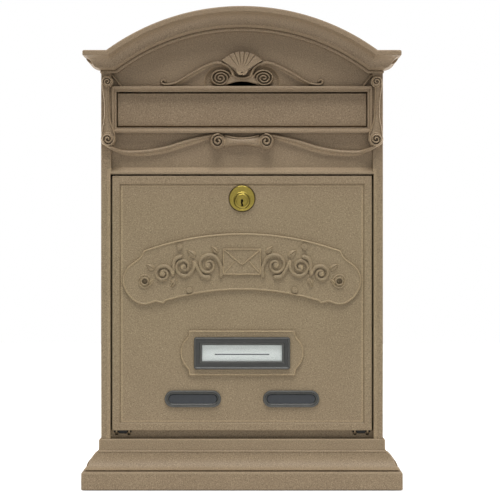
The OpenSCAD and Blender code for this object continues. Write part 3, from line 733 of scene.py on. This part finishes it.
# the long S-shaped ridges, with a soft skirt below them
ub = [(8.2, 378.6), (9.2, 381.8), (11.4, 385.6), (15.5, 388.5), (21.9, 389.9), (28.3, 388.9), (37.9, 384.5), (47.5, 379.1),
      (56.8, 373.5), (64.3, 370.4), (69.9, 369.9), (73.0, 370.8), (73.8, 372.9), (72.6, 374.3), (70.9, 374.0)]
ubp = smooth_path(ub, 8)
orn.both(tube(at(ubp, TY + 1.6), lambda t: 3.3 - 1.2 * t, lambda t: 7.0 - 2.4 * t))
orn.both(lathe(70.4, 373.0, [(1.5, TY - 0.2), (1.5, TY + 1.1), (1.1, TY + 2.0), (0, TY + 2.4)], 20))


def skirt(path, drop, h0, base):
    """A slope from a ridge down to the field, on its lower side."""
    rings = []
    m = len(path)
    for i, p in enumerate(path):
        a, b = Vector(path[max(i - 1, 0)][:2]), Vector(path[min(i + 1, m - 1)][:2])
        t = (b - a).normalized()
        nrm = Vector((t.y, -t.x))
        if nrm.y > 0:
            nrm = -nrm
        u = i / (m - 1)
        w = drop * math.sin(math.pi * min(1.0, 0.12 + 0.88 * u)) ** 0.7 + 0.05
        q = Vector(p[:2])
        rings.append([(q.x, base + h0, q.y), (q.x + nrm.x * w * 0.4, base + h0 * 0.5, q.y + nrm.y * w * 0.4),
                      (q.x + nrm.x * w, base + 0.02, q.y + nrm.y * w), (q.x + nrm.x * w, base - 0.6, q.y + nrm.y * w), (q.x, base - 0.6, q.y)])
    return loft(rings)


orn.both(skirt(ubp[34:88], 2.6, 1.2, TY))

# lower motif: two round volutes joined by a rolled saddle
orn.both(lathe(22, 317.9, [(0, SY - 0.6), (7.1, SY - 0.6), (7.1, SY + 4.0), (6.85, SY + 4.6), (6.3, SY + 4.8), (0, SY + 4.9)], 56))
lv = spiral(22, 317.9, 6.5, 1.2, 96, -1.9, 36)
orn.both(tube([(x, z, SY + 5.2 + 1.3 * i / len(lv)) for i, (x, z) in enumerate(lv)], lambda t: 1.95 + 0.5 * max(0.0, t - 0.8) / 0.2, 4.8, n=14))
rings = []
for x in lin(-18.4, 18.4, 47):
    u = x / 15.9
    over = max(0.0, abs(x) - 15.6)
    zt, zb = 321.2 + 3.0 * min(1.0, u * u) - 1.1 * over, 314.7 - 2.3 * min(1.0, u * u) + 1.3 * over
    zc, hh = (zt + zb) / 2, (zt - zb) / 2
    row = []
    for a in lin(-90, 90, 15):
        row.append((x, SY + 0.2 + (6.6 - 2.2 * min(1.15, u * u)) * max(0.0, cosd(a)) ** 0.7 * (1.0 - 0.16 * sind(a)), zc + hh * sind(a)))
    row += [(x, SY - 0.6, zt), (x, SY - 0.6, zb)]
    rings.append(row)
orn.add(loft(rings))
orn.add(tube([(x, 321.0 + 3.3 * (x / 15.9) ** 2 - 0.6, SY + 4.2 - 1.7 * (x / 15) ** 2) for x in lin(-15.0, 15.0, 31)], 1.8, 3.6))
lb = [(21.9, 324.0), (29.2, 323.0), (36.5, 321.3), (42.9, 319.8), (55, 316.4), (64, 313.4), (73.6, 310.9), (87.7, 308.6), (101.6, 307.9),
      (109, 308.2), (113.8, 309.2), (117.8, 310.9), (121.5, 313.0), (125.0, 315.4), (127.3, 318.6)]
lbp = smooth_path(lb, 8)
nlb = len(lbp)
lbd = []
for i, p in enumerate(lbp):
    u = min(1.0, max(0.0, (p[0] - 108) / 12.0))
    lbd.append((p[0], p[1], SY + 1.6 + 7.4 * u * u * (3 - 2 * u)))
orn.both(tube(lbd, lambda t: 3.5 - 0.7 * max(0.0, t - 0.85) / 0.15, lambda t: 6.4 - 0.8 * t))
orn.both(skirt(lbp[6:86], 4.2, 1.3, SY))

# side consoles
inner = [(120.9, 369.5), (121.2, 362), (121.1, 356.2), (120.9, 348), (120.5, 341.6), (119.2, 333.9), (117.4, 328.8), (116.0, 325),
         (115.6, 320.9), (116.2, 317), (118.2, 313.9), (121.2, 312.4), (124.4, 313.0), (127.0, 315.4), (128.2, 318.8)]
outer = [(128.4, 322.5), (127.9, 328.8), (126.6, 334.5), (125.9, 340), (125.8, 347), (126.0, 353.5), (126.7, 360.9), (127.9, 366.5),
         (128.3, 369.5), (128.0, 373.5), (126.2, 376.3), (123.2, 377.2), (120.3, 376.0), (118.7, 373.0), (119.2, 370.6)]
cons = [(p.x, p.y) for p in smooth_path(inner + outer, 4, closed=True)]
orn.both(plate([cons], 82.0, 87.9, 1.0, 4))
edge_out = smooth_path([(127.5, 370.5), (127.3, 366.5), (126.3, 360.9), (125.4, 353.5), (125.2, 347), (125.3, 340), (126.0, 334.5), (127.3, 328.8), (127.7, 322.5)], 6)
orn.both(tube(at(edge_out, 87.9), 1.35, 3.0, n=12))
edge_in = smooth_path([(121.7, 367), (121.8, 356.2), (121.3, 341.6), (120.0, 333.9), (116.9, 325.5), (116.3, 321), (117.3, 316.6), (120.4, 313.6), (124.3, 313.6), (127.3, 316.6)], 6)
orn.both(tube(at(edge_in, 87.9), lambda t: 1.1 + 0.4 * t, 3.0, n=12))
orn.both(lathe(122.5, 319.4, [(0, 83), (6.5, 83), (6.5, 88.1), (6.2, 88.75), (5.6, 88.95), (0, 89.1)], 48))
ls = spiral(122.5, 319.4, 5.7, 0.9, 200, 1.95, 34)
orn.both(tube([(x, z, 89.2 + 1.2 * i / len(ls)) for i, (x, z) in enumerate(ls)], lambda t: 1.95 - 0.35 * t, 3.4, n=12))
# upper volute of the console
orn.both(lathe(122.9, 371.9, [(0, 83), (5.2, 83), (5.2, 87.7), (4.9, 88.3), (4.4, 88.5), (0, 88.6)], 48))
us = spiral(122.9, 371.9, 4.6, 0.8, -20, 1.8, 34)
orn.both(tube([(x, z, 88.6 + 1.0 * i / len(us)) for i, (x, z) in enumerate(us)], lambda t: 1.75 - 0.35 * t, 3.0, n=12))
# diagonal ridge from the cornice to the slot frame
diag = smooth_path([(121.5, 380.5), (118.6, 377.8), (115.8, 375.0), (113.4, 371.8), (111.2, 368.6)], 6)
orn.both(tube(at(diag, TY + 0.9), 2.4, 4.4))
make("front_scrollwork", orn, COAT, "box", angle=50)

# ------------------------------------------------------------------ door
door = Acc()
db = [(0.0, 81.2), (0.0, 83.3), (0.15, 83.7), (0.45, 83.93), (0.9, 84.0), (6.3, 84.0), (6.6, 83.92), (6.9, 83.62), (7.45, 82.75), (7.7, 82.5),
      (9.4, 82.48), (9.4, 81.2)]
door.add(ring_frame(-118.8, 118.8, 53.2, 286.1, db, (1.0, 1.0, 0.96, 1.04)))


def stad(cx, cz, w, h, n=16):
    r = h / 2
    return arc(cx + w / 2 - r, cz, r, -90, 90, n) + arc(cx - w / 2 + r, cz, r, 90, 270, n)


def rrect(x0, x1, z0, z1, r, n=6):
    return arc(x1 - r, z1 - r, r, 90, 0, n) + arc(x1 - r, z0 + r, r, 0, -90, n) + arc(x0 + r, z0 + r, r, -90, -180, n) + arc(x0 + r, z1 - r, r, 180, 90, n)


fp = [(-110.7, 60.9), (110.7, 60.9), (110.7, 277.7), (-110.7, 277.7)]
holes = [arc(0, 265.5, 12.4, 0, 354, 60), rrect(-40.4, 40.4, 112.2, 135.4, 0.6), stad(-45, 82, 47, 11), stad(45, 82, 47, 11)]
door.add(plate([fp] + holes, 80.4, 82.8, 0.12, 1))
# floor of the lock's seat
door.add(lathe(0, 265.5, [(9.6, 80.45), (12.6, 80.45), (12.6, 81.3), (9.6, 81.3), (9.6, 80.45)], 60))
door.both(bbox(117, 119, 75, 81.6, 62, 286.2, 0.4))
door.add(bbox(-118.4, 118.4, 75, 81.6, 284.3, 286.3, 0.4))
for hz in (60.5, 67.5):
    door.both(lathe(109.25, hz, [(1.0, 80.6), (1.0, 80.1), (1.9, 80.1), (1.9, 80.6)], 24))

# long cartouche
top_arc = [(263 * sind(a), -29.3 + 263 * cosd(a)) for a in lin(0, 20.0, 22)]
lobe = [(91.3, 215.1), (92.4, 213.0), (94.6, 210.4), (97.6, 208.3), (100.9, 205.9), (104.4, 202.8), (107.0, 198.8), (108.8, 194.2), (109.3, 189.3),
        (108.4, 184.2), (106.2, 179.6), (102.8, 174.9), (98.6, 171.5), (94.2, 169.2), (89.1, 168.3), (84.6, 169.0), (81.0, 170.4), (78.2, 170.9), (75.2, 170.0),
        (71.6, 169.2)]
lobe = [(p.x, p.y) for p in smooth_path(lobe, 4)]
bot_arc = [(240 * sind(a), -58.1 + 240 * cosd(a)) for a in lin(16.9, 0, 22)]
door.add(plate([mirror_loop(top_arc + lobe + bot_arc), arc(89, 189.7, 2.6, 0, 345, 24), arc(-89, 189.7, 2.6, 0, 345, 24)], 82.2, 84.6, 0.5, 3))


def ringnut(x, z):
    return lathe(x, z, [(2.5, 84.0), (2.55, 85.5), (2.8, 86.0), (3.3, 86.15), (3.8, 85.9), (4.1, 85.3), (4.4, 85.0), (4.8, 85.1), (5.2, 85.6), (5.7, 85.75), (6.2, 85.5), (6.45, 84.9), (6.5, 84.0), (2.5, 84.0)], 64)


# the rings stand on the cartouche; their middle is a shallow dish
door.both(ringnut(89, 189.7))
for x, z in ((57, 221.3), (48.2, 181.6)):
    door.both(lathe(x, z, [(0, 84.3), (2.75, 84.3), (2.75, 86.2), (2.5, 86.6), (2.0, 86.75), (0, 86.8)], 32))

def inset(loop, w):
    """A closed clockwise loop moved inward by w."""
    out = []
    m = len(loop)
    for i, (x, z) in enumerate(loop):
        ax, az = loop[i - 1]
        bx, bz = loop[(i + 1) % m]
        tx, tz = bx - ax, bz - az
        ln = math.hypot(tx, tz) or 1.0
        out.append((x + tz / ln * w, z - tx / ln * w))
    return out


edge = inset(mirror_loop(top_arc + lobe + bot_arc), 0.95)
door.add(tube([(x, z, 84.45) for x, z in edge + [edge[0]]], 1.5, 1.7, n=10))

# name cartouche
nh = [(0, 144.6), (47.8, 144.6), (48.7, 144.2), (49, 143.3), (49, 140.6), (49.4, 139.3), (50.4, 138.2)]
nh += arc(37.8, 124.05, 18.6, 46, -46, 22)
nh += [(50.4, 109.9), (49.4, 108.8), (49, 107.5), (49, 104.8), (48.7, 103.9), (47.8, 103.5), (0, 103.5)]
nm_hole = rrect(-40.4, 40.4, 112.2, 135.4, 0.6)
door.add(plate([mirror_loop(nh), nm_hole], 82.2, 84.35, 0.5, 3))
edge = inset(mirror_loop(nh), 0.85)
door.add(tube([(x, z, 84.25) for x, z in edge + [edge[0]]], 1.3, 1.3, n=10))
make("door_casting", door, COAT, "door", angle=28, replaces=("door_panel",))

# ornament on the long cartouche: an envelope between running scrolls, all following its arch
AC = (0.0, -43.7)


def curve_map(u, v):
    a = 90.0 - math.degrees(u / 251.5)
    r = 251.5 + v
    return (AC[0] + r * cosd(a), AC[1] + r * sind(a))


em = Acc()
B = 84.6


def ridge(pts, wf, hf, d=B + 0.15):
    m = [curve_map(u, v) for u, v in pts]
    return tube([(x, z, d) for x, z in m], wf, hf, n=12)


# running scrolls on each side: three volutes, each smaller than the one before
def wave(cs):
    out = []
    for i, (c, r, sg) in enumerate(cs):
        # sg +1: the stem comes in over the top and curls down and back
        sp = spiral(c[0], c[1], r, 1.3, 180 if sg > 0 else 180, -1.62 * sg, 34)
        out.append((c, r, sg, sp))
    return out


units = wave([((31.0, -1.5), 10.6, 1), ((53.5, 0.8), 9.6, -1), ((73.5, -0.8), 8.2, 1)])
for i, (c, r, sg, sp) in enumerate(units):
    # lead-in stem from the unit before, swinging along the opposite edge
    if i == 0:
        lead = [(20.2, -12.4), (19.2, -8.0), (19.4, -4.6)]
    else:
        pc, pr, psg, _ = units[i - 1]
        lead = [(pc[0] + 1.0, pc[1] + psg * -pr * 1.02), (pc[0] + pr * 0.72, pc[1] - psg * pr * 0.78), (c[0] - r - 0.7, c[1] - sg * -1.0 * -2.4)]
    pts = smooth_path([Vector(p) for p in lead] + [Vector(sp[0])], 6)[:-1] + [Vector(p) for p in sp]
    em.both(ridge([(p[0], p[1]) for p in pts], lambda t: 4.1 - 1.5 * t, lambda t: 4.6 - 1.2 * t))
    bx, bz = curve_map(*c)
    em.both(lathe(bx, bz, [(2.3, B - 0.3), (2.3, B + 1.2), (1.8, B + 1.8), (0, B + 2.1)], 24))


def leaf(base, tip, width):
    """A small raised leaf in (u, v) with a fold along its middle."""
    b, t = Vector(base), Vector(tip)
    ax = t - b
    nr = Vector((-ax.y, ax.x)).normalized()
    rings = []
    for k in lin(0, 1, 15):
        w = width * (math.sin(math.pi * min(1.0, 0.06 + 0.94 * k) ** 0.75) ** 0.9) + 0.08
        c = b + ax * k
        row = []
        for s, h in ((-1, -0.3), (-1, 0.15), (-0.66, 0.75), (-0.3, 0.95), (0, 0.6), (0.3, 0.95), (0.66, 0.75), (1, 0.15), (1, -0.3)):
            q = c + nr * (w * s)
            x, z = curve_map(q.x, q.y)
            row.append((x, B + (h * (1.9 if h > 0 else 1.0)) * (0.55 + 0.45 * math.sin(math.pi * k) if h > 0 else 1.0), z))
        rings.append(row)
    return loft(rings)


for a, b2, w in (((41.4, 8.0), (47.6, 15.0), 2.9), ((63.2, -8.0), (69.6, -14.2), 2.8), ((80.6, 5.6), (85.2, 12.6), 2.6), ((21.8, 8.6), (26.4, 15.4), 2.6),
                 ((84.0, -3.0), (90.0, -6.5), 1.8)):
    em.both(leaf(a, b2, w))

# envelope
env = rrect(-17.6, 17.6, 195.6, 219.6, 1.2)
em.add(plate([env], B - 0.4, B + 1.0, 0.4, 3))
em.add(tube([(x, z, B + 1.0) for x, z in ((-16.4, 218.4), (-8.2, 211.3), (-2.0, 206.0), (0, 205.2), (2.0, 206.0), (8.2, 211.3), (16.4, 218.4))], 1.3, 1.5, n=10))
em.both(tube([(x, z, B + 0.9) for x, z in ((16.6, 196.8), (12.0, 201.5), (6.6, 207.6))], 1.1, 1.2, n=10))
rim = rrect(-17.0, 17.0, 196.2, 219.0, 1.0)
rimp = rim + [rim[0]]
em.add(tube([(x, z, B + 0.95) for x, z in rimp], 1.2, 1.5, n=10))
make("door_ornament", em, COAT, "door", angle=50)


# ------------------------------------------------------------------ name plate
def rr_ring(x0, x1, z0, z1, r, prof, n=7):
    """A moulding round a rectangle with round corners: prof is a closed outline of (inset, d)."""
    return loft([[(x, d, z) for x, z in rrect(x0 + w, x1 - w, z0 + w, z1 - w, max(r - w, 0.25), n)] for w, d in prof], cyclic=True)


nf = Acc()
nf.add(rr_ring(-44, 44, 109.1, 138.6, 2.2, [(0.0, 81.6), (0.0, 85.5), (0.15, 86.0), (0.5, 86.4), (1.0, 86.55), (1.5, 86.4), (1.8, 86.0), (2.1, 85.75), (2.6, 85.7),
                                             (4.6, 85.6), (5.0, 85.4), (5.2, 84.9), (5.4, 84.75), (6.6, 84.7), (7.1, 84.55), (7.4, 84.2), (7.45, 83.5), (3.9, 83.5), (3.9, 81.6)]))
nf.add(ring_frame(-40.1, 40.1, 112.5, 135.1, [(0, 79.0), (0, 83.9), (1.25, 83.9), (1.25, 79.0)]))
make("name_frame_moulding", nf, GREY, "door", angle=30, replaces=("name_frame",))
# painted highlight: pale lines along the edges of the grey plastic frame and window bezels
re_ = Acc()
q = rrect(-42.9, 42.9, 110.2, 137.5, 1.3, 7)
re_.add(tube([(x, z, 86.4) for x, z in q + [q[0]]], 0.45, 0.55, n=8))
q = rrect(-38.2, 38.2, 114.9, 132.8, 0.6, 5)
re_.add(tube([(x, z, 84.95) for x, z in q + [q[0]]], 0.45, 0.5, n=8))
for cx in (-45, 45):
    q = stad(cx, 82, 49.5, 13.3, 18)
    re_.add(tube([(x, z, 84.35) for x, z in q + [q[0]]], 0.45, 0.5, n=8))
    q = stad(cx, 82, 46.3, 10.1, 18)
    re_.add(tube([(x, z, 83.72) for x, z in q + [q[0]]], 0.4, 0.4, n=8))
make("grey_plastic_painted_highlight_lines", re_, PAINTED_HIGHLIGHT_PLASTIC, "door", angle=40)

# a plain ruled line where the name is written
ln = Acc()
ln.add(bbox(-25, 25, 82.1, 82.34, 122.2, 123.2, 0.03, 1))
make("name_card_rule", ln, INK, "door", angle=40)

# ------------------------------------------------------------------ inspection windows
for side, sx in (("left", -1), ("right", 1)):
    bz = Acc()
    cx = 45 * sx
    prof = [(0.0, 81.2), (0.0, 83.9), (0.2, 84.3), (0.6, 84.5), (1.05, 84.45), (1.35, 84.15), (1.6, 83.6), (1.95, 83.4), (2.2, 83.45), (2.5, 83.75), (2.8, 83.8),
            (3.1, 83.55), (3.3, 83.0), (3.5, 82.6), (3.5, 78.4), (2.6, 78.2), (2.4, 80.2), (2.3, 81.2)]
    rings = []
    n = 40
    base = stad(cx, 82, 51.6, 15.4, 20)
    for k, (x, z) in enumerate(base):
        # inward normal of the stadium at this point
        qx = cx + max(-18.1, min(18.1, x - cx))
        nx, nz = (x - qx), (z - 82)
        ln = math.hypot(nx, nz)
        nx, nz = nx / ln, nz / ln
        rings.append([(x - nx * w, d, z - nz * w) for w, d in prof])
    bz.add(loft(rings, cyclic=True))
    make("window_bezel_%s_moulding" % side, bz, GREY, "door", angle=30, replaces=("window_bezel_" + side,))
    pn = Acc()
    rings = []
    for s, d in ((1.0, 78.8), (1.0, 82.5), (0.98, 82.75), (0.92, 82.95), (0.8, 83.0)):
        rings.append([(cx + (x - cx) * (1 - (1 - s) * 0.3), d, 82 + (z - 82) * s) for x, z in stad(cx, 82, 44.6, 8.6, 20)])
    pn.add(loft(rings))
    make("window_pane_%s_lens" % side, pn, SMOKE, "door", angle=40, replaces=("window_pane_" + side,))

# ------------------------------------------------------------------ lock
lk = Acc()
# face with a rounded rim and a turned step; the plug sits low in it
face = [arc(0, 265.5, 11.65, 0, 354, 90), list(reversed(arc(0, 263.2, 7.2, 0, 352, 56)))]
lk.add(plate(face, 82.1, 84.75, 0.6, 4))
lk.add(lathe(0, 263.2, [(7.35, 84.3), (7.35, 84.95), (7.6, 85.1), (7.9, 85.1), (8.15, 84.95), (8.15, 84.3), (7.35, 84.3)], 64))
lk.add(lathe(0, 263.2, [(6.0, 64.6), (6.0, 83.2), (7.3, 83.2), (7.3, 82.4), (9.3, 82.4), (9.3, 65.2), (8.9, 64.6), (6.0, 64.6)], 56))
make("lock_housing", lk, BRASS, "door", angle=30, replaces=("lock_body",))
pg = Acc()
kw = [(-1.0, 264.2), (-0.5, 264.75), (0.3, 264.8), (0.95, 264.3), (1.15, 263.4), (1.0, 262.5), (0.45, 261.9), (0.3, 261.2), (0.75, 260.5), (1.15, 259.7),
      (1.2, 258.7), (0.9, 258.0), (-0.7, 258.0), (-0.95, 258.8), (-0.55, 259.6), (-0.75, 260.4), (-1.15, 261.2), (-1.15, 262.2), (-0.75, 262.9), (-0.95, 263.5)]
pg.add(plate([arc(0, 263.2, 5.0, 0, 352, 48), kw], 79.0, 84.6, 0.1, 1))
pg.add(lathe(0, 263.2, [(4.85, 83.0), (4.9, 85.1), (5.15, 85.6), (5.6, 85.75), (6.1, 85.7), (6.6, 85.35), (6.85, 84.8), (6.9, 84.2), (6.85, 83.3), (5.9, 83.25), (5.9, 78.8), (4.85, 78.8), (4.85, 83.0)], 64))
pg.add(lathe(0, 263.2, [(0, 63.2), (5.6, 63.2), (5.95, 63.6), (5.95, 78.9), (0, 78.9)], 48))
make("lock_plug_turned", pg, BRASS, "lock", angle=30, replaces=("lock_plug",))
# painted shadow: a thin black disc behind the keyway so that it shows dark
kh = Acc()
kh.add(lathe(0, 263.2, [(0, 79.0), (4.6, 79.0), (4.6, 79.25), (0, 79.25)], 40))
make("keyway_shadow_disc", kh, BLACK_RUBBER_AND_SHADOW, "lock", angle=40)

# ------------------------------------------------------------------ flap spring
hel = [(-99.5, 6.3, 12), (-99.5, 2.8, 3)]
for i in range(0, 241):
    a = -9.0 * i
    hel.append((-99.5 - 1.5 * i / 40.0, 2.7 * cosd(a), 2.7 * sind(a)))
hel += [(-108.5, 3.4, -5), (-108.5, 5.3, -9), (-108.5, 5.5, -17)]
hv = [Vector((x, -(70 + a), 366 + b)) for x, a, b in hel]
ringsv, fs, nn = [], [], 8
for i, c in enumerate(hv):
    t = (hv[min(i + 1, len(hv) - 1)] - hv[max(i - 1, 0)]).normalized()
    u = t.cross(Vector((0.31, 0.2, 0.93))).normalized()
    w = t.cross(u)
    for k in range(nn):
        q = c + 0.45 * (u * math.cos(2 * math.pi * k / nn) + w * math.sin(2 * math.pi * k / nn))
        ringsv.append(Vector((q.x / 1000, q.y / 1000, (q.z - ZH) / 1000)))
for i in range(len(hv) - 1):
    for k in range(nn):
        j = (k + 1) % nn
        fs.append((i * nn + k, (i + 1) * nn + k, (i + 1) * nn + j, i * nn + j))
fs.append(tuple(range(nn)))
fs.append(tuple(range((len(hv) - 1) * nn + nn - 1, (len(hv) - 1) * nn - 1, -1)))
make("flap_spring_wire", (ringsv, fs), SPRING, "box", angle=60, replaces=("flap_spring",))


# ------------------------------------------------------------------ CAD nodes whose shape is right
def refine(name, mat, body, bevel, angle=30.0, seg=2):
    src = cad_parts[name]
    bm = bmesh.new()
    bm.from_mesh(src.data)
    bmesh.ops.remove_doubles(bm, verts=bm.verts, dist=2e-6)
    bmesh.ops.recalc_face_normals(bm, faces=bm.faces)
    bmesh.ops.dissolve_limit(bm, angle_limit=math.radians(0.4), verts=bm.verts, edges=bm.edges, delimit={"NORMAL"})
    if bevel > 0:
        es = [e for e in bm.edges if len(e.link_faces) == 2 and e.calc_face_angle(0) > math.radians(angle)]
        bmesh.ops.bevel(bm, geom=es, offset=bevel / 1000.0, segments=seg, affect="EDGES", profile=0.5, clamp_overlap=True)
    bmesh.ops.triangulate(bm, faces=[f for f in bm.faces if len(f.verts) > 4])
    me = bpy.data.meshes.new(name + "_finished")
    bm.to_mesh(me)
    bm.free()
    me.shade_smooth()
    me.set_sharp_from_angle(angle=math.radians(28))
    ob = bpy.data.objects.new(name + "_finished", me)
    bpy.context.scene.collection.objects.link(ob)
    me.materials.append(mat)
    wn = ob.modifiers.new("weighted", "WEIGHTED_NORMAL")
    wn.keep_sharp = True
    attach(ob, body)
    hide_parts(name)
    return ob


refine("rear_box", COAT_REAR, "box", 0.6)
refine("letter_flap", COAT, "flap", 0.35)
refine("frame_screws", STEEL, "box", 0.2)
# painted shade: the hinge pins are dark steel, darkened so that the hinge slots they show through read as shade
refine("door_hinge_pins", DARK_STEEL_SLOT_SHADE, "box", 0.2)
refine("flap_pin", STEEL, "box", 0.25)
refine("flap_pin_clips", STEEL, "box", 0.12)
refine("door_bumpers", BLACK_RUBBER_AND_SHADOW, "box", 0.6, seg=3)
refine("hinge_brackets", COAT, "door", 0.2)
refine("hinge_bracket_screws", STEEL, "door", 0.15)
refine("name_window", CLEAR, "door", 0.15)
refine("name_card", CARD, "door", 0.0)
refine("name_retainer", GREY, "door", 0.4)
refine("lock_washer", STEEL, "door", 0.12)
refine("lock_nut", STEEL, "door", 0.3)
refine("lock_cam", STEEL, "lock", 0.3)
refine("cam_screw", STEEL, "lock", 0.2)

# the rear casting's rounded returns are a little flatter than in the CAD
for v in bpy.data.objects["rear_box_finished"].data.vertices:
    z = v.co.z * 1000 + ZH
    if abs(v.co.x) > 0.1292:
        if 384.0 < z < 396.0:
            v.co.z = (396.0 + (z - 396.0) * 0.68 - ZH) / 1000
        elif 17.4 < z < 34.0:
            v.co.z = (17.4 + (z - 17.4) * 0.74 - ZH) / 1000

# the card sits a hair behind the clear window
cf = bpy.data.objects["name_card_finished"].data
y0 = min(v.co.y for v in cf.vertices)
for v in cf.vertices:
    if v.co.y < y0 + 1e-5:
        v.co.y += 0.00012

# ------------------------------------------------------------------ stage, light, camera
AMBIENT = 0.068


def floor_material():
    """Plain pale floor, glowing a little more toward the wall so that it stays white there."""
    m, nt, bs = material("pale_floor")
    bs.inputs["Base Color"].default_value = (0.7, 0.7, 0.7, 1)
    bs.inputs["Roughness"].default_value = 0.9
    bs.inputs["Emission Color"].default_value = (1, 1, 1, 1)
    tc = nt.nodes.new("ShaderNodeTexCoord")
    sep = nt.nodes.new("ShaderNodeSeparateXYZ")
    nt.links.new(tc.outputs["Object"], sep.inputs[0])
    mp = nt.nodes.new("ShaderNodeMapRange")
    mp.inputs["From Min"].default_value = -1.0
    mp.inputs["From Max"].default_value = 1.0
    nt.links.new(sep.outputs["Y"], mp.inputs["Value"])
    r = ramp(nt, mp.outputs[0], [(0.1, (0.03, 0.03, 0.03, 1)), (0.40, (0.3, 0.3, 0.3, 1)), (0.52, (0.42, 0.42, 0.42, 1)), (0.72, (1.05, 1.05, 1.05, 1))])
    r.color_ramp.interpolation = "EASE"
    nt.links.new(r.outputs[0], bs.inputs["Emission Strength"])
    return m


fl = bpy.data.meshes.new("floor")
zf = -0.2302
fl.from_pydata([(-3.0, -3.0, zf), (3.0, -3.0, zf), (3.0, 3.0, zf), (-3.0, 3.0, zf)], [], [(0, 1, 2, 3)])
flo = bpy.data.objects.new("floor", fl)
bpy.context.scene.collection.objects.link(flo)
fl.materials.append(floor_material())

w = bpy.data.worlds.new("studio")
bpy.context.scene.world = w
w.use_nodes = True
wt = w.node_tree
bg = wt.nodes["Background"]
bg.inputs[0].default_value = (1, 1, 1, 1)
lp = wt.nodes.new("ShaderNodeLightPath")
mr = wt.nodes.new("ShaderNodeMapRange")
mr.inputs["To Min"].default_value = AMBIENT
mr.inputs["To Max"].default_value = 1.0
wt.links.new(lp.outputs["Is Camera Ray"], mr.inputs["Value"])
wt.links.new(mr.outputs[0], bg.inputs[1])


def area(name, loc, target, size, power, color=(1, 1, 1), size_y=None):
    la = bpy.data.lights.new(name, "AREA")
    la.energy = power
    la.color = color
    la.size = size
    if size_y:
        la.shape = "RECTANGLE"
        la.size_y = size_y
    ob = bpy.data.objects.new(name, la)
    bpy.context.scene.collection.objects.link(ob)
    ob.location = loc
    ob.rotation_euler = (Vector(target) - Vector(loc)).to_track_quat("-Z", "Y").to_euler()
    return ob


area("overhead", (0.0, -0.95, 2.4), (0, -0.1, 0.0), 1.7, 75.5, size_y=1.2)
area("front", (0.25, -2.6, 0.2), (0, -0.05, -0.02), 2.6, 14)
for sgn, nm in ((-1, "left"), (1, "right")):
    area("side_" + nm, (sgn * 1.5, 0.5, 0.2), (0, 0.0, 0.0), 1.4, 30)

cam = bpy.data.cameras.new("camera")
cam.sensor_width = 36.0
cam.lens = 157.7
cam.clip_start = 0.05
cam.clip_end = 30
co = bpy.data.objects.new("camera", cam)
bpy.context.scene.collection.objects.link(co)
co.location = (0.0073, -2.088, -0.0117)
co.rotation_euler = (math.radians(90), 0, 0)
bpy.context.scene.camera = co
bpy.context.scene.view_settings.view_transform = "Standard"
bpy.context.scene.view_settings.look = "None"
try:
    bpy.context.scene.cycles.use_denoising = True
except Exception:
    pass
